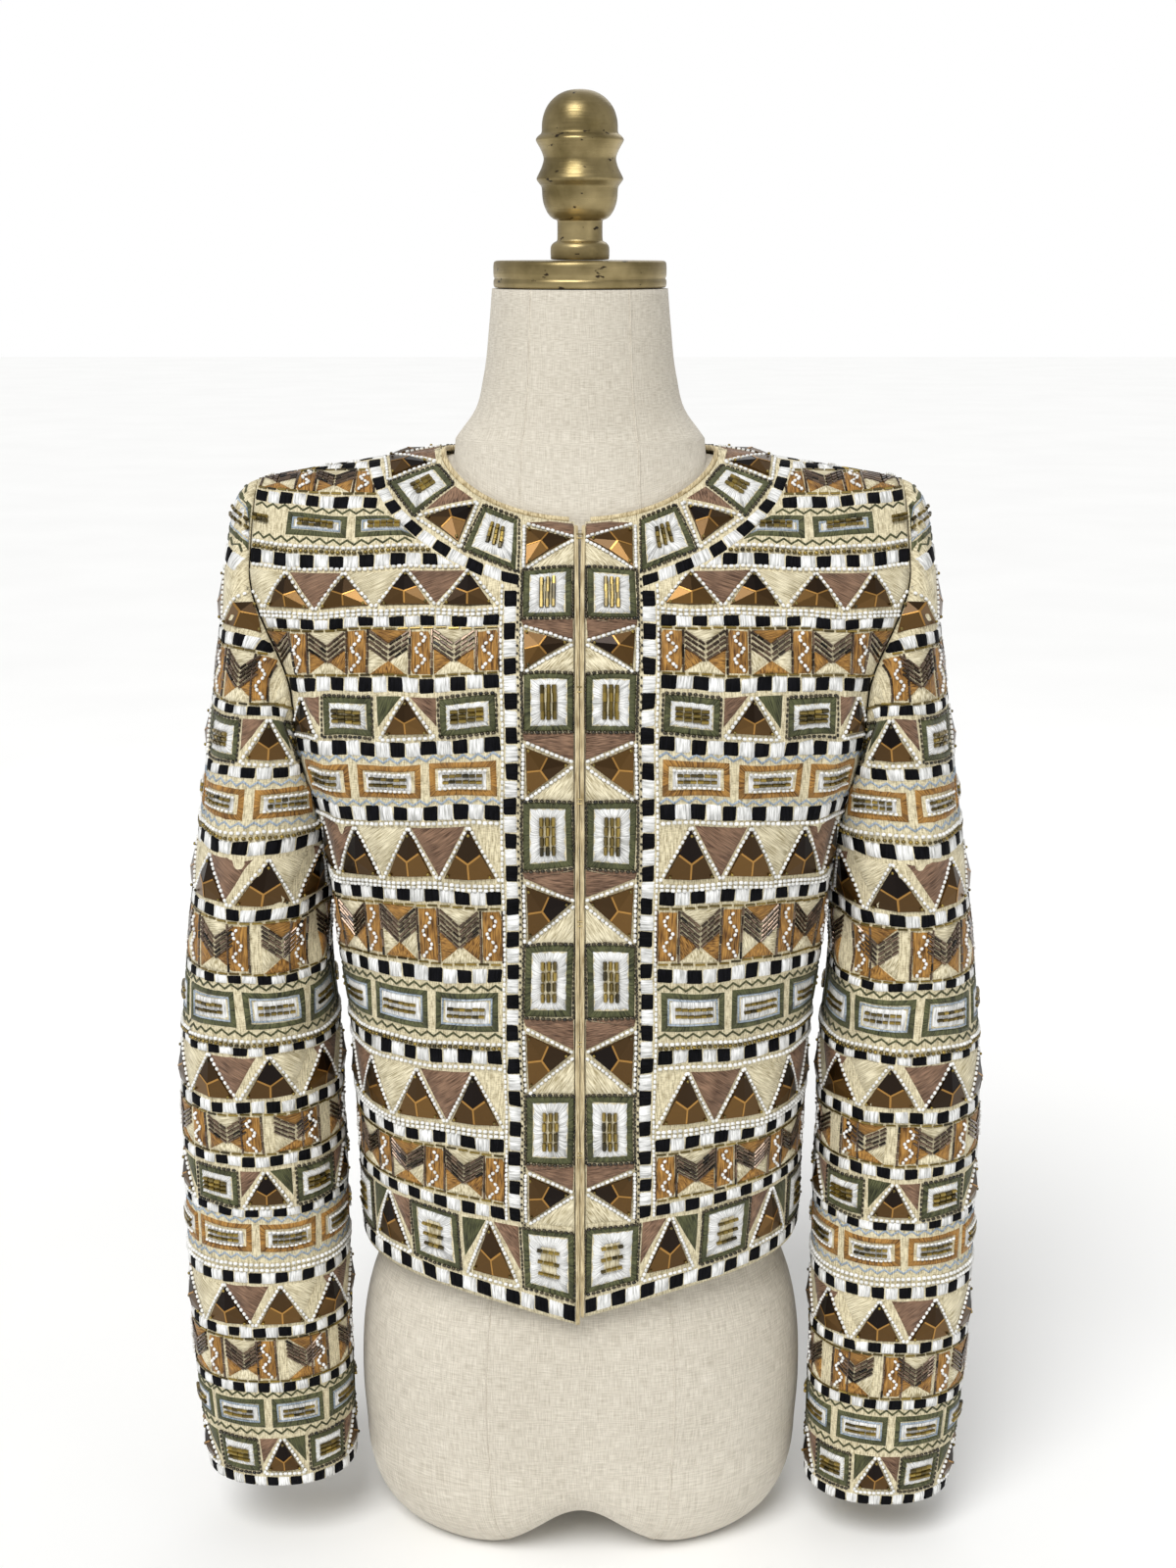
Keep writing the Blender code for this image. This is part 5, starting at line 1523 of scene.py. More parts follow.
SLEEVE_BANDS = (
    (CHECKER, 43, 51), (SQUARES, 53, 80.5), (OLIVE_BOXES, 82, 112), (CHECKER, 112.5, 118),
    (CHEVRONS, 120, 149), (CHECKER, 151, 156.5), (TRIANGLES, 158, 186.5), (CHECKER, 188, 194.5),
    (WHITE_LINES, 195.5, 203), (MUSTARD_BOXES, 204, 233.5), (CHECKER, 234, 238),
    (SQUARES, 239, 266), (CHECKER, 268, 273.5), (CHEVRONS, 276, 301), (CHECKER, 303, 309),
    (TRIANGLES, 311, 340), (CHECKER, 341, 345), (GILT_LINES, 345.5, 351.5),
    (OLIVE_BOXES, 352.5, 386), (CHECKER, 387, 391), (CHEVRONS, 393, 426), (CHECKER, 428, 434.5),
    (TRIANGLES, 436, 467), (CHECKER, 469.5, 477), (GILT_LINES, 477.5, 484.5),
    (MUSTARD_BOXES, 485.5, 514), (CHECKER, 516, 521.5), (SQUARES, 523, 552), (CHECKER, 553.5, 558),
    (CHEVRONS, 560, 591), (CHECKER, 593, 599.5), (TRIANGLES, 602, 635), (CHECKER, 638, 647),
    (OLIVE_BOXES, 650, 685),
)


def sew_bands(bands: Bands, table: Sequence[tuple]) -> None:
    """Sew every band of a table.

    Args:
        bands: The panel's bands.
        table: Rows of kind, bottom and top.
    """
    sewn = {
        CHECKER: (bands.checker,), SQUARES: (bands.squares,), TRIANGLES: (bands.triangles,),
        CHEVRONS: (bands.chevrons,), WHITE_LINE: (bands.lines, (Bead.WHITE,)),
        WHITE_LINES: (bands.lines, (Bead.WHITE, Bead.WHITE)),
        GILT_LINES: (bands.lines, (Bead.GOLD, Bead.WHITE)),
        MUSTARD_BOXES: (bands.rectangles, Thread.MUSTARD, Thread.BLUE_GREY),
        OLIVE_BOXES: (bands.rectangles, Thread.OLIVE, Thread.OLIVE),
    }
    for kind, v0, v1 in table:
        sew, *threads = sewn[kind]
        sew(v0, v1, *threads)


@dataclass
class FrontColumn:
    """The upright column of squares and sideways studs beside a front edge."""

    panel: HalfPanel
    inner: float = 3.0
    outer: float = 33.4
    looped_u: float = 34.2
    checker_u: tuple[float, float] = (35.8, 43.4)
    beaded_u: float = 44.8
    block: float = 10.2
    levels: tuple[float, ...] = (685, 651, 619, 587.5, 553.5, 514, 471, 425, 377.5, 330, 283, 240)

    def sew(self) -> None:
        """Sew the fields, the looped bead line and the checker column beside them."""
        panel = self.panel
        panel.neck_limit = 2.0
        tops = np.array(self.levels[:-1], float)
        lows = np.array(self.levels[1:], float)
        fields = boxes(self.inner, self.outer, lows, tops)
        studs = Cells(panel, fields[0::2])
        studs.stud([(0.92, 0.05), (0.94, 0.80), (0.06, 0.56)], 0.02)
        studs.triangle([(0.0, 1.0), (0.01, 0.60), (0.97, 0.90)], Thread.TAUPE, 1.0)
        studs.triangle([(0.0, 1.0), (0.97, 0.88), (1.0, 1.0)], Thread.TAUPE, 1.0)
        studs.triangle([(0.0, 0.0), (0.90, 0.0), (0.0, 0.50)], Thread.CREAM, 1.0)
        studs.white_rows((((0.94, 0.86), (0.02, 0.58)), ((0.98, 0.02), (0.98, 0.84)),
                          ((0.92, 0.0), (0.02, 0.52))))
        Cells(panel, fields[1::2]).framed_square(True)
        panel.neck_limit = RING_OUT - 9.0
        v = np.arange(self.levels[-1], 660.0, 4.6)
        turn = np.linspace(0.0, 2 * math.pi, 7)[:-1]
        loops = beside(self.looped_u + 1.1 * np.cos(turn)[None] + 0 * v[:, None],
                       v[:, None] + 1.5 * np.sin(turn)[None])
        panel.string(loops.reshape(-1, 2)[::2], (0.0, 1.0), 0.75, 0.9, Bead.DARK)
        panel.neck_limit = RING_LIMIT
        low = np.arange(self.levels[-1], 664.0, 2 * self.block)
        for start, finish, rise in ((0.0, Thread.BLACK, 1.0), (self.block, Thread.WHITE, 1.2)):
            corners = boxes(*self.checker_u, low + start, low + start + self.block)
            panel.sew(pillow(7.6, self.block, rise, turned=True), corners, finish)
        u = self.beaded_u
        panel.bead_lines([(u, self.levels[-1])], [(u, 655.0)], 3.3, 1.05, Bead.WHITE)


RING_IN = 3.0
RING_MID = 37.0
RING_CHECKER = 7.4
RING_OUT = 45.6
RING_LIMIT = RING_OUT + 0.6


class RingCell(Enum):
    """The two designs round the neck."""

    SQUARE = "square"
    STUD = "stud"


@dataclass
class NeckRing:
    """The ring of squares and studs round the neckline, with checkers outside it."""

    panel: HalfPanel
    first_u: float
    designs: tuple[tuple[RingCell, float], ...]
    block: float = 10.5

    def offset(self, line: Array, distance: float) -> Array:
        """A line drawn away from the neckline by a distance."""
        run = unit(np.gradient(line, axis=0))
        return line + beside(run[:, 1], -run[:, 0]) * distance

    def begun(self, line: Array) -> Array:
        """The part of a line past the first u, with the crossing point in front."""
        if self.first_u <= 0:
            return line
        after = max(int(np.argmax(line[:, 0] >= self.first_u)), 1)
        before, beyond = line[after - 1], line[after]
        share = (self.first_u - before[0]) / max(beyond[0] - before[0], 1e-6)
        return np.vstack([before + (beyond - before) * np.clip(share, 0.0, 1.0), line[after:]])

    def sew(self) -> None:
        """Sew the fields in turn, then the checker and bead lines outside them."""
        panel = self.panel
        path = panel.neck[::-1]
        lines = [even_line(self.begun(self.offset(path, d)), 101)
                 for d in (RING_IN, RING_MID, RING_OUT - RING_CHECKER, RING_OUT)]
        panel.neck_limit = 1.0
        total = sum(share for _, share in self.designs)
        places = np.concatenate([[0.0], np.cumsum([share for _, share in self.designs])]) / total
        for k, (design, _) in enumerate(self.designs):
            a, b = (int(round(100 * place)) for place in places[k:k + 2])
            cells = Cells(panel, np.array([[lines[1][a], lines[1][b], lines[0][b], lines[0][a]]]))
            if design is RingCell.SQUARE:
                cells.framed_square(k % 2 == 0)
            else:
                cells.stud([(0.10, 0.08), (0.88, 0.10), (0.20, 0.86)], 0.03)
                cells.triangle([(0.30, 0.97), (0.97, 0.22), (0.98, 0.97)], Thread.TAUPE)
                cells.white_rows((((0.02, 0.02), (0.14, 0.96)), ((0.14, 0.96), (0.96, 0.06)),
                                  ((0.02, 0.02), (0.96, 0.02))))
        size = lengths(lines[2])[-1]
        count = max(2, int(round(size / self.block)))
        places = np.linspace(0, 100, count + 1).round().astype(int)
        low, high = lines[3][places], lines[2][places]
        corners = np.stack([low[:-1], low[1:], high[1:], high[:-1]], 1)
        panel.sew(pillow(self.block, RING_CHECKER, 1.0), corners[0::2], Thread.BLACK)
        panel.sew(pillow(self.block, RING_CHECKER, 1.2), corners[1::2], Thread.WHITE)
        panel.neck_limit = RING_LIMIT


# Cloth shells


def between_lines(low: Array, high: Array, left: Array, right: Array) -> Array:
    """Grid of chart points between four lines that meet at their ends.

    P(s, t) = (1-t) low + t high + (1-s) left + s right, less the corners' bilinear mean.

    Args:
        low: Bottom line, left to right.
        high: Top line, left to right, with as many points.
        left: Left line, bottom to top.
        right: Right line, bottom to top, with as many points.

    Returns:
        Grid of rows by columns by (u, v).
    """
    s = np.linspace(0, 1, len(low))[None, :, None]
    t = np.linspace(0, 1, len(left))[:, None, None]
    sides = (1 - t) * low[None] + t * high[None] + (1 - s) * left[:, None] + s * right[:, None]
    corners = ((1 - s) * (1 - t) * low[0] + s * (1 - t) * low[-1] + (1 - s) * t * high[0] + s * t * high[-1])
    return sides - corners


@dataclass
class ClothPiece:
    """One cut piece of the ground cloth, worn and given its thickness."""

    name: str
    node: str
    slot: str
    grid: Array
    chart: Chart
    sign: float

    def build(self, material: Material, rests_on: Sequence, held: str) -> Piece:
        """Make the cloth and hide the node that it stands for.

        Args:
            material: Ground cloth.
            rests_on: What it hangs on; not used.
            held: How it is held; not used.

        Returns:
            The finished cloth.
        """
        rows, columns = self.grid.shape[:2]
        uv = self.grid.reshape(-1, 2)
        points = self.chart.at(uv) * np.array([self.sign, 1.0, 1.0])
        mesher = Mesher()
        faces = grid_faces(rows, columns)
        if self.chart.outward * self.sign < 0:
            faces = faces[:, ::-1]
        mesher.add(points, faces, 0, uv)
        piece = mesher.build(self.name, [material])
        thick = piece.modifiers.new("thickness", "SOLIDIFY")
        thick.thickness = WALL * MM
        thick.offset = -1.0
        thick.use_even_offset = False
        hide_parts(self.node)
        return piece


# Cords, binding and the form


def tube(line: Array, outward: Array, radius: float, sides: int) -> tuple[Array, Array]:
    """A round tube along a line: line + r (cos a n + sin a t x n), closed at both ends.

    Args:
        line: Centre points.
        outward: A direction across the line at each point.
        radius: Radius of the tube.
        sides: Points round it.

    Returns:
        Points and triangles.
    """
    run = unit(np.gradient(line, axis=0))
    out = outward - (outward * run).sum(axis=1, keepdims=True) * run
    out = out / np.linalg.norm(out, axis=1, keepdims=True)
    side = np.cross(run, out)
    turn = np.arange(sides) * 2 * math.pi / sides
    rings = (line[:, None] + radius * np.cos(turn)[None, :, None] * out[:, None]
             + radius * np.sin(turn)[None, :, None] * side[:, None])
    points = np.vstack([rings.reshape(-1, 3), line[:1], line[-1:]])
    return points, closed_faces(len(line), sides)


@dataclass
class Trims:
    """Neck binding and the two rows of piping on each front edge."""

    front: BodyChart
    back: BodyChart
    cord_radius: float = 0.75
    cord_rows: tuple[tuple[float, float], ...] = ((0.9, 0.2), (2.0, 0.7))
    binding_radius: float = 1.6

    def binding(self, material: Material) -> None:
        """One cord round the neck from one front edge to the other."""
        points = []
        normals = []
        for chart in (self.front, self.back):
            uv = even_line(chart.neckline(60), 60)
            uv = uv[uv[:, 0] > FRONT_EDGE_U + 1.0][::-1] if chart is self.front else uv[1:]
            points.append(chart.at(uv))
            normals.append(chart.normal(uv))
        points, normals = np.vstack(points), np.vstack(normals)
        inward = unit(np.cross(np.gradient(points, axis=0), normals))
        inward *= -np.sign((inward[:, :2] * points[:, :2]).sum(axis=1))[:, None]
        right = points - normals * WALL / 2 + inward * (self.binding_radius + 0.5)
        flip = np.array([-1.0, 1.0, 1.0])
        line = even_line(np.vstack([right[:-1], (right * flip)[::-1][1:]]), 260)
        outward = np.vstack([normals[:-1], (normals * flip)[::-1][1:]])
        place = np.linspace(0, len(outward) - 1, len(line))
        outward = np.stack([np.interp(place, np.arange(len(outward)), outward[:, k]) for k in range(3)], -1)
        mesher = Mesher()
        shape, faces = tube(line, outward, self.binding_radius, 12)
        mesher.add(shape, faces, 0, beside(shape[:, 0], shape[:, 2] * 3))
        piece = mesher.build("binding_of_neckline", [material])
        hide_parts("neck_binding")

    def piping(self, side: str, material: Material) -> None:
        """Two cords lying side by side along one front edge."""
        sign = SIDES[side]
        mesher = Mesher()
        v = np.linspace(HEM_V[side], self.front.neckline(30)[-1, 1] - 3.0, 260)
        opened = 2.2 * np.clip((v - 610.0) / 75.0, 0.0, 1.0) ** 1.5
        for row, (u, lift) in enumerate(self.cord_rows):
            uv = beside(np.full_like(v, FRONT_EDGE_U), v)
            line = self.front.at(uv) + self.front.normal(uv) * lift
            slack = 0.10 * np.sin(v / 9.0 + row * 2.0 + sign)
            line[:, 0] = sign * (u + slack + opened * (0.3 if row else 0.5))
            shape, faces = tube(line, np.tile([sign, 0.0, 0.0], (len(line), 1)), self.cord_radius, 10)
            mesher.add(shape, faces, 0, beside(shape[:, 0] * 2, shape[:, 2]))
        piece = mesher.build("piping_" + side, [material])
        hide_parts("edge_cord_" + side)


FORM_SECTIONS = np.array([
    # height, half width, front depth, back depth, squareness
    (62, 143, 92, 100, 2.2), (95, 145, 95, 103, 2.2), (160, 139, 93, 95, 2.2), (195, 127, 88, 87, 2.2),
    (260, 112, 82, 78, 2.2), (330, 105, 80, 72, 2.2), (400, 112, 86, 76, 2.2), (470, 126, 98, 84, 2.3),
    (540, 138, 106, 90, 2.4), (600, 147, 92, 92, 2.3), (628, 150, 80, 88, 2.1), (706, 79, 60, 56, 2.1),
    (714, 73.5, 57, 54.5, 2.0), (727, 64, 56, 54, 2.0), (748, 58.2, 54, 54, 2.0),
    (779, 54.4, 53, 52, 2.0), (799.7, 52.6, 52, 51, 2.0),
])


@dataclass
class DressForm:
    """The limbless linen torso: two flat-footed lobes, a waist, a chest and a neck."""

    columns: int = 160
    lobe_edge: float = 62.0
    lobe_sink: float = 6.0
    arch_height: float = 33.0
    arch_width: float = 36.0
    clearance: float = 3.4
    seam_radius: float = 0.55
    lobe_rings: int = 25
    torso_rings: int = 90
    chest_z: float = 628.0
    neck_z: float = 706.0
    collar_ring: int = 21
    panel_columns: tuple[int, ...] = (15, 49, 111, 145)

    def ring(self, z: float) -> Array:
        """Level ring of the torso as rows of x, y and z."""
        turns = np.linspace(0.0, 2 * math.pi, self.columns, endpoint=False)
        level = np.full_like(turns, z)
        depth = np.where(np.cos(turns) > 0, read(FORM_SECTIONS, 2, level), read(FORM_SECTIONS, 3, level))
        radius = oval_radius(turns, read(FORM_SECTIONS, 1, level), depth, read(FORM_SECTIONS, 4, level))
        return beside(radius * np.sin(turns), -radius * np.cos(turns), level)

    def jacket_height(self, x: Array, y: Array) -> Array:
        """Height of the jacket's shoulder over a point: |out|^n + |up|^n = 1 from the chest to the ridge."""
        x = np.minimum(np.abs(x), SHOULDER_X)
        s = x / SHOULDER_X
        front = y < SHOULDER_Y * s ** 2
        half, squareness = BODY_SECTIONS[-1, 1], BODY_SECTIONS[-1, 4]
        depth = np.where(front, BODY_SECTIONS[-1, 2], BODY_SECTIONS[-1, 3])
        chest_y = depth * (1 - (x * ARMHOLE_CHEST_X / SHOULDER_X / half) ** squareness) ** (1 / squareness)
        power = np.where(front, 1.5 + 0.1 * s, 3.0 - s)
        out = np.minimum(np.abs(y - SHOULDER_Y * s ** 2) / chest_y, 1.0)
        return CHEST_Z + (ridge_z(x) - CHEST_Z) * (1 - out ** power) ** (1 / power)

    def under_shoulder(self, x: Array, y: Array) -> Array:
        """Height just under the inside of the jacket."""
        slope = (self.jacket_height(x, y + 1.0) - self.jacket_height(x, y - 1.0)) / 2.0
        drop = (WALL + self.clearance) * np.sqrt(1 + RIDGE_FALL ** 2 + np.minimum(slope ** 2, 6.0))
        return self.jacket_height(x, y) - drop

    def shoulder_rings(self, shares: Array) -> list[Array]:
        """Rings from the upper chest to the neck's base, as far under the jacket as it allows."""
        low = self.ring(self.chest_z)
        base = self.ring(self.neck_z)
        base[:, :2] *= (0.9 / neck_ratio(base))[:, None]
        rings = []
        for share in shares:
            ring = low + (base - low) * share
            lift = float(smooth_curve(np.array(share), np.array([0.0, 0.5]), np.array([0.0, 1.0])))
            ring[:, 2] = low[0, 2] + (self.under_shoulder(ring[:, 0], ring[:, 1]) - low[0, 2]) * lift
            rings.append(ring)
        return rings

    def lobes(self) -> list[Array]:
        """Rings of the underside: flat feet, rounded edges and an arch between them."""
        foot = self.ring(self.lobe_edge)
        rings = []
        for share in np.sin(np.linspace(0.03, math.pi / 2, self.lobe_rings + 1)[:-1]) ** 0.8:
            x = foot[:, 0] * share
            rise = 1 - (1 - share ** 7) ** 0.5
            arch = self.arch_height * np.exp(-(x / self.arch_width) ** 2)
            z = arch + (self.lobe_edge - arch) * rise - self.lobe_sink * (1 - rise)
            rings.append(beside(x, foot[:, 1] * share, np.maximum(z, 0.0)))
        return rings

    def build(self, linen: Material) -> None:
        """Make the torso and its sewn seams."""
        rings = self.lobes()
        rings += [self.ring(z) for z in np.linspace(self.lobe_edge, self.chest_z, self.torso_rings)]
        rings += self.shoulder_rings(np.linspace(0.0, 1.0, 26)[1:])
        rings += [self.ring(z) for z in np.linspace(self.neck_z + 5.0, FORM_SECTIONS[-1, 0], 26)]
        grid = np.stack(rings)
        bottom, top = grid[0].mean(axis=0), np.array([0.0, 0.0, grid[-1, 0, 2]])
        points = np.vstack([grid.reshape(-1, 3), bottom, top])
        turn = np.arctan2(points[:, 0], -points[:, 1])
        reach = lengths(grid[:, 0])
        climb = np.concatenate([np.repeat(reach, self.columns), [0.0, reach[-1]]])
        stitch = beside(turn * 110.0, climb)
        mesher = Mesher()
        mesher.add(points, closed_faces(len(grid), self.columns), 0, stitch)
        for line, outward in self.seams(grid):
            shape, faces = tube(line, outward, self.seam_radius, 6)
            mesher.add(shape, faces, 0, beside(shape[:, 0], shape[:, 2]))
        torso = mesher.build("linen_torso", [linen])
        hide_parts("form_torso")

    def seams(self, grid: Array) -> list[tuple[Array, Array]]:
        """Seam cords: four upright panel seams, and one round the base of the neck.

        Args:
            grid: Rings of the torso, bottom to top.

        Returns:
            Lines and the directions out of the torso along them.
        """
        hub = np.array([0.0, 0.0, 1.0])
        found = []
        for column in self.panel_columns:
            line = grid[10:, column]
            line = line[np.linalg.norm(np.gradient(line, axis=0), axis=1) > 0.5]
            found.append((line, line * (1 - hub)))
        turn = np.arange(self.columns + 1) % self.columns
        row = self.lobe_rings + self.torso_rings + self.collar_ring
        dip = 0.5 - 0.5 * np.cos(turn * 2 * math.pi / self.columns)
        place = row + 3.2 * dip - 1.0
        low = np.floor(place).astype(int)
        part = (place - low)[:, None]
        line = grid[low, turn] * (1 - part) + grid[low + 1, turn] * part
        found.append((line, line * (1 - hub) + hub * 60.0))
        return found


def rounded(profile: Array, turns: int) -> Array:
    """Cut the corners of a profile, at a quarter and three quarters of each step.

    Args:
        profile: Rows of radius and height.
        turns: How many times the corners are cut.

    Returns:
        The smoother profile, ends kept.
    """
    for _ in range(turns):
        low = profile[:-1] * 0.75 + profile[1:] * 0.25
        high = profile[:-1] * 0.25 + profile[1:] * 0.75
        profile = np.vstack([profile[:1], np.stack([low, high], 1).reshape(-1, 2), profile[-1:]])
    return profile


@dataclass
class TurnedPiece:
    """A lathe-turned piece: its profile carried round the upright axis."""

    name: str
    node: str
    profile: tuple[tuple[float, float], ...]
    rounding: int = 2
    columns: int = 96

    def build(self, material: Material) -> None:
        """Turn the profile: (r cos a, r sin a, z), with a pole at both ends."""
        line = rounded(np.array(self.profile, float), self.rounding)
        line = line[line[:, 0] > 0.3]
        turn = np.arange(self.columns) * 2 * math.pi / self.columns
        rings = beside(line[:, :1] * np.cos(turn), line[:, :1] * np.sin(turn),
                       np.repeat(line[:, 1:], self.columns, 1))
        points = np.vstack([rings.reshape(-1, 3), (0.0, 0.0, line[0, 1]), (0.0, 0.0, line[-1, 1])])
        mesher = Mesher()
        mesher.add(points, closed_faces(len(line), self.columns))
        piece = mesher.build(self.name, [material])
        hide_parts(self.node)


CAP_PROFILE = ((0.0, 800.0), (50.4, 800.0), (51.7, 801.2), (51.7, 804.5), (51.1, 805.2), (51.1, 806.0),
               (51.7, 806.8), (51.7, 814.4), (50.6, 815.8), (48.0, 816.0), (20.0, 816.0), (0.0, 816.0))
FINIAL_PROFILE = (
    (0.0, 0.0), (17.0, 0.0), (17.5, 1.0), (17.6, 6.4), (17.2, 8.4), (15.6, 10.2), (13.8, 10.9), (13.4, 12.0),
    (13.4, 22.0), (13.6, 23.0), (15.6, 23.6), (17.6, 25.0), (19.6, 27.6), (21.4, 31.6), (22.3, 36.0),
    (22.5, 41.0), (22.9, 42.6), (24.4, 44.4), (25.7, 46.2), (25.6, 47.4), (24.4, 49.6), (22.6, 53.2),
    (21.4, 57.2), (21.4, 59.0), (22.4, 62.0), (24.2, 65.4), (25.9, 68.2), (26.0, 69.4), (24.8, 71.0),
    (22.8, 72.4), (22.4, 74.0), (22.4, 78.0), (21.9, 81.4), (20.6, 85.6), (18.4, 89.4), (14.6, 93.4),
    (9.6, 96.2), (4.6, 97.4), (0.0, 97.6),
)


@dataclass
class Studio:
    """Pale floor, surroundings seen white and half as bright on the jacket, lights and camera."""

    floor_half: float = 16.0
    floor_z: float = -0.0006
    camera_place: tuple[float, float, float] = (4.8, -1380.0, 825.0)
    camera_pitch: float = 13.45
    camera_lens: float = 51.75
    surroundings: float = 0.52
    sun_power: float = 2.14
    sun_spread: float = 34.0
    sun_turn: tuple[float, float, float] = (40.0, 0.0, -22.0)

    def floor(self) -> None:
        """A large level floor under the form's feet."""
        mesh = bpy.data.meshes.new("studio_floor")
        h, z = self.floor_half, self.floor_z
        corners = [(-h, -h, z), (h, -h, z), (h, h, z), (-h, h, z)]
        mesh.from_pydata(corners, [], [(0, 1, 2, 3)])
        mesh.materials.append(PaleFinish().material())
        placed("studio_floor", mesh)

    def lamp(self, name: str, place: Sequence[float], size: float, power: float) -> None:
        """One soft square light that faces the middle of the jacket."""
        data = bpy.data.lights.new(name, "AREA")
        data.shape = "SQUARE"
        data.size = size
        data.energy = power
        lamp = placed(name, data)
        lamp.location = place
        away = Vector(place) - Vector((0.0, 0.0, 0.45))
        lamp.rotation_euler = away.to_track_quat("Z", "Y").to_euler()

    def sun(self) -> None:
        """The broad soft light from above the front left, which also whitens the whole floor."""
        data = bpy.data.lights.new("key", "SUN")
        data.energy = self.sun_power
        data.angle = math.radians(self.sun_spread)
        placed("key", data).rotation_euler = tuple(math.radians(turn) for turn in self.sun_turn)

    def build(self) -> None:
        """Set up everything round the object."""
        scene = bpy.context.scene
        self.floor()
        world = bpy.data.worlds.new("studio")
        world.use_nodes = True
        nodes, links = world.node_tree.nodes, world.node_tree.links
        nodes["Background"].inputs[0].default_value = (1.0, 1.0, 1.0, 1.0)
        seen = nodes.new("ShaderNodeLightPath").outputs["Is Camera Ray"]
        strength = nodes.new("ShaderNodeMath")
        strength.operation = "MULTIPLY_ADD"
        links.new(seen, strength.inputs[0])
        strength.inputs[1].default_value = 1.0 - self.surroundings
        strength.inputs[2].default_value = self.surroundings
        links.new(strength.outputs[0], nodes["Background"].inputs[1])
        scene.world = world
        self.sun()
        self.lamp("fill", (1.7, -1.5, 1.2), 1.2, 2.0)
        self.lamp("rim", (0.4, 1.8, 2.0), 1.2, 4.0)
        camera = placed("camera", bpy.data.cameras.new("camera"))
        camera.data.lens = self.camera_lens
        camera.data.sensor_width = 36.0
        x, y, z = self.camera_place
        camera.location = (x * MM, (y + BOX_SHIFT_Y) * MM, z * MM)
        camera.rotation_euler = (math.radians(90.0 - self.camera_pitch), 0.0, 0.0)
        scene.camera = camera
        scene.view_settings.view_transform = "Standard"


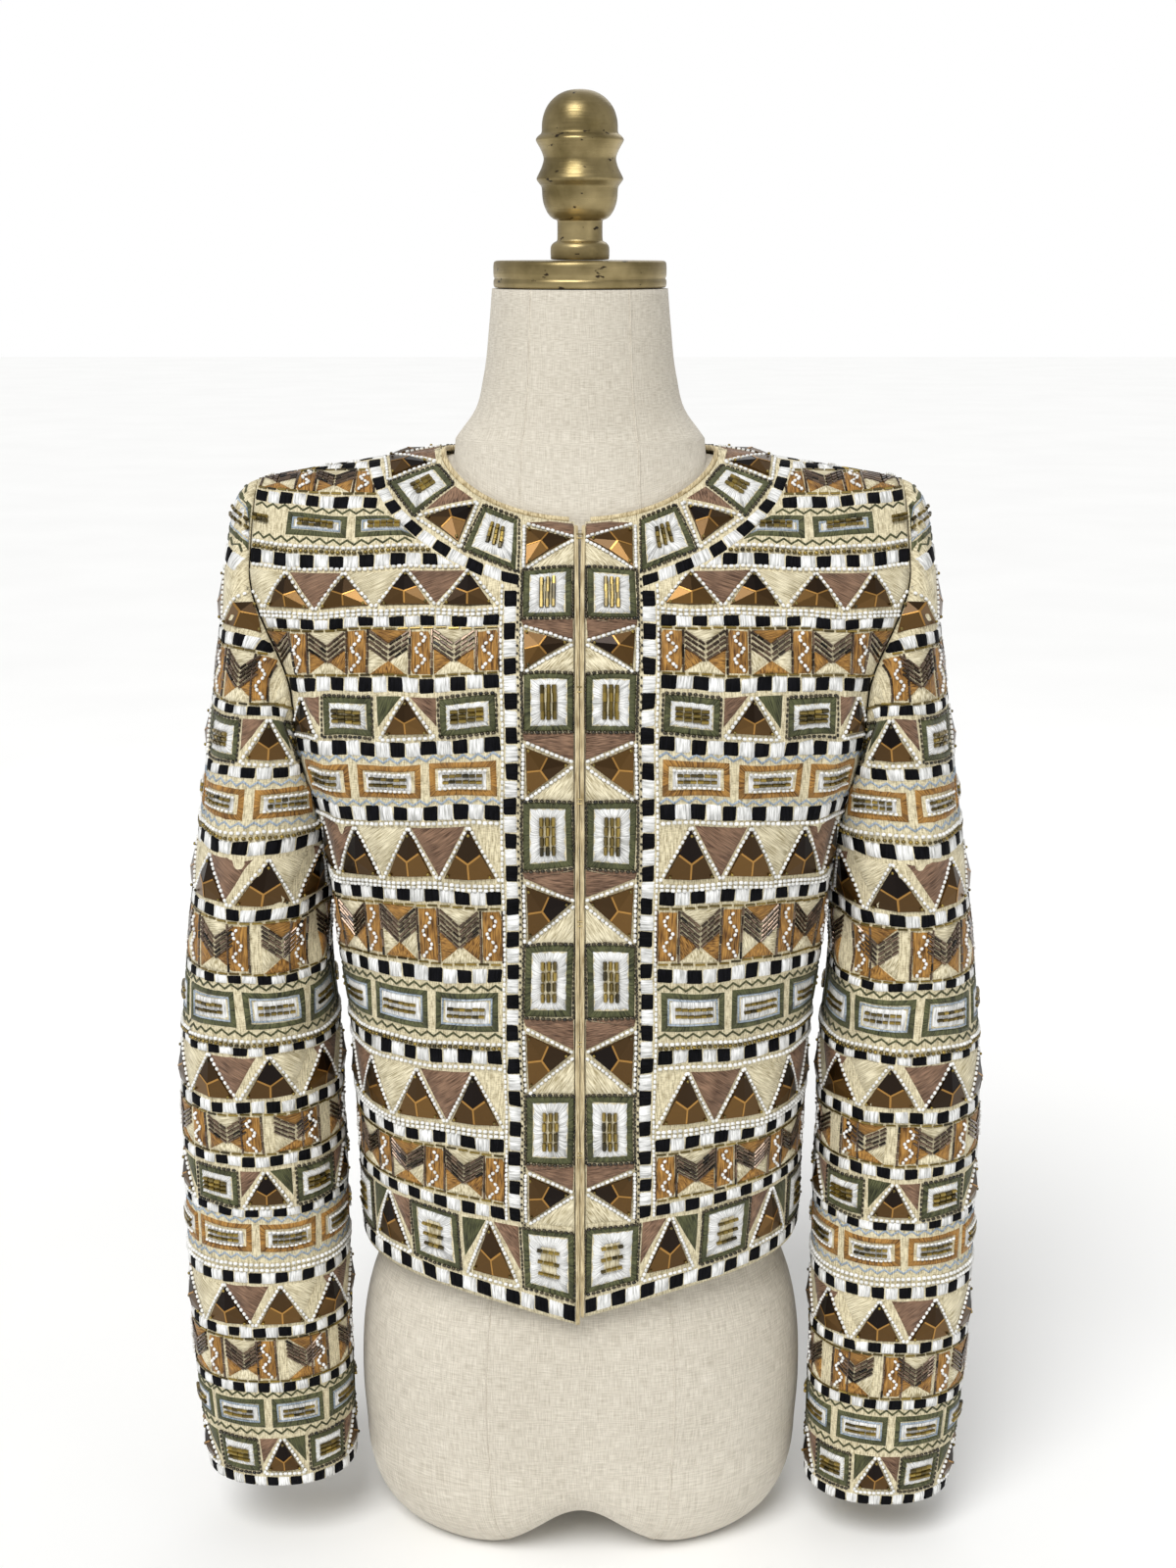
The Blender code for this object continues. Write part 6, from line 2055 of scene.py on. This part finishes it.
class BeadedJacket:
    """The jacket: charts, ground cloth, bands, columns, neck ring and trims."""

    def __init__(self) -> None:
        """Lay out the charts that every piece is worn on."""
        self.front = BodyChart("front")
        self.back = BodyChart("back")
        self.sleeve = SleeveChart(self.front, self.back)
        self.threads = [thread.value.material() for thread in Thread]
        self.bead_finishes = [bead.value.material() for bead in Bead]
        self.ground = GroundFinish("cream_ground", (140, 124, 86), (238, 227, 192)).material()
        self.cord = SatinFinish("cream_cord", (150, 130, 90), (226, 210, 170)).material()

    def half_grid(self, chart: BodyChart, hem_v: float, first_u: float) -> Array:
        """Cut of one half, with a grid line at the neck corner."""
        neck = chart.neckline(60)[::-1]
        if first_u:
            level = np.interp(first_u, neck[:, 0], neck[:, 1])
            neck = np.vstack([(first_u, level), neck[neck[:, 0] > first_u + 0.2]])
        tip_u = chart.ridge[-1, 0]
        ridge_u = np.linspace(neck[-1, 0], tip_u, 60)
        shoulder = beside(ridge_u, chart.ridge_at(ridge_u))
        top = np.vstack([even_line(neck, 28), even_line(shoulder, 34)[1:]])
        top[:, 1] -= np.where(np.arange(len(top)) > 27, 0.15, 0.0)
        side = even_line(chart.side_line(hem_v), 121) - (0.15, 0.0)
        side[-1] = top[-1]
        low = beside(np.linspace(first_u, side[0, 0], len(top)), np.full(len(top), hem_v))
        low[-1] = side[0]
        left = beside(np.full(121, first_u), np.linspace(hem_v, top[0, 1], 121))
        return between_lines(low, top, left, side)

    def build_body(self, form: str) -> list[Piece]:
        """Ground cloth of the fronts and the back.

        Args:
            form: What they hang on.

        Returns:
            The cloth pieces.
        """
        cloths = []
        for side, sign in SIDES.items():
            grid = self.half_grid(self.front, HEM_V[side], FRONT_EDGE_U)
            piece = ClothPiece("cloth_front_" + side, "front_" + side, "embroidered_front_" + side,
                               grid, self.front, sign)
            cloths.append(piece.build(self.ground, [form], "hung"))
        half = self.half_grid(self.back, BACK_HEM_V, 0.0)
        mirror = half[:, :0:-1] * np.array([-1.0, 1.0])
        whole = np.concatenate([mirror, half], axis=1)
        piece = ClothPiece("cloth_back", "back", "embroidered_back", whole, self.back, 1.0)
        cloths.append(piece.build(self.ground, [form], "hung"))
        return cloths

    def build_sleeves(self, cloths: list[Piece]) -> None:
        """Ground cloth of the sleeves, a front and a back piece each."""
        chart = self.sleeve
        for side, sign in SIDES.items():
            t = np.linspace(0.0, 1.0, 131)[:, None]
            v_all = np.linspace(CUFF_V[side], 700.0, 400)
            seam = chart.seam_at(BACK_SEAM_TURN, v_all)
            for part, turns in (("front", 0), ("back", 1)):
                s = np.linspace(0.0, 1.0, 81 if turns == 0 else 61)[None]
                middle_top = float(np.interp(700.0, v_all, seam))
                first_top, last_top = ((0.0, middle_top), (middle_top, chart.around))[turns]
                u_top = first_top + (last_top - first_top) * s
                v = CUFF_V[side] + (chart.top_at(u_top[0])[None] - 0.3 - CUFF_V[side]) * t
                middle = np.interp(v, v_all, seam)
                u = middle * s if turns == 0 else middle + (chart.around - middle) * s
                grid = beside(u, v)
                piece = ClothPiece("cloth_sleeve_%s_%s" % (part, side), "sleeve_%s_%s" % (part, side),
                                   "embroidered_sleeve_%s_%s" % (part, side), grid, chart, sign)
                hangs = [cloths[0 if side == "left" else 1], cloths[2]]
                piece.build(self.ground, hangs, "hung")

    def finish_panel(self, panel: Panel, name: str) -> None:
        """Make the objects of one panel's stitches and beads."""
        for mesher, materials, kind in ((panel.stitches, self.threads, "stitches_"),
                                        (panel.beads, self.bead_finishes, "beads_")):
            for piece in mesher.build_parts(kind + name, materials):
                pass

    def sew_halves(self) -> None:
        """Bands, column and neck ring of both fronts and both halves of the back."""
        square, stud = RingCell.SQUARE, RingCell.STUD
        for seed, side in enumerate(SIDES):
            front = HalfPanel(self.front, side, FRONT_EDGE_U, HEM_V[side], 10 + seed)
            sew_bands(Bands(front, BANDS_START_U, BANDS_END_U, False), BODY_BANDS)
            sew_bands(Bands(front, FrontColumn.inner - 1.4, BANDS_END_U, False), HEM_BANDS)
            FrontColumn(front).sew()
            NeckRing(front, 35.5, ((square, 0.25), (stud, 0.25), (square, 0.24), (stud, 0.26))).sew()
            self.finish_panel(front, "front_" + side)
            back = HalfPanel(self.back, side, 0.0, BACK_HEM_V, 20 + seed)
            sew_bands(Bands(back, 0.0, BANDS_END_U, False), HEM_BANDS + BODY_BANDS)
            designs = ((stud, 0.2), (square, 0.2), (stud, 0.2), (square, 0.2), (stud, 0.2))
            NeckRing(back, 0.0, designs).sew()
            self.finish_panel(back, "back_" + side)

    def sew_sleeves(self) -> None:
        """Bands of both sleeves."""
        for seed, side in enumerate(SIDES):
            panel = SleevePanel(self.sleeve, side, 30 + seed)
            sew_bands(Bands(panel, 0.0, self.sleeve.around, True), SLEEVE_BANDS)
            self.finish_panel(panel, "sleeve_" + side)

    def trim(self) -> None:
        """Binding, piping and the hooks' finish."""
        trims = Trims(self.front, self.back)
        trims.binding(self.cord)
        for side in SIDES:
            trims.piping(side, self.cord)
        brass = AgedBrassFinish("hook_brass").material()
        for k in range(1, 7):
            frame["nodes"]["hook_%d" % k].data.materials[0] = brass


def main() -> None:
    """Build every sub-assembly in order and report each."""
    LOG.info("studio")
    Studio().build()
    brass = AgedBrassFinish().material()
    DressForm().build(LinenFinish().material())
    TurnedPiece("neck_cap", "form_cap", CAP_PROFILE, 1, 128).build(brass)
    finial = tuple((r, z + FINIAL_FOOT_Z) for r, z in FINIAL_PROFILE)
    TurnedPiece("finial", "form_finial", finial).build(brass)
    LOG.info("dress form done")
    jacket = BeadedJacket()
    cloths = jacket.build_body("form_torso")
    jacket.build_sleeves(cloths)
    LOG.info("ground cloth done")
    jacket.sew_halves()
    jacket.sew_sleeves()
    LOG.info("bands done")
    jacket.trim()
    LOG.info("trims done")


if __name__ == "__main__":
    logging.basicConfig(level=logging.INFO, format="%(name)s: %(message)s")
    main()
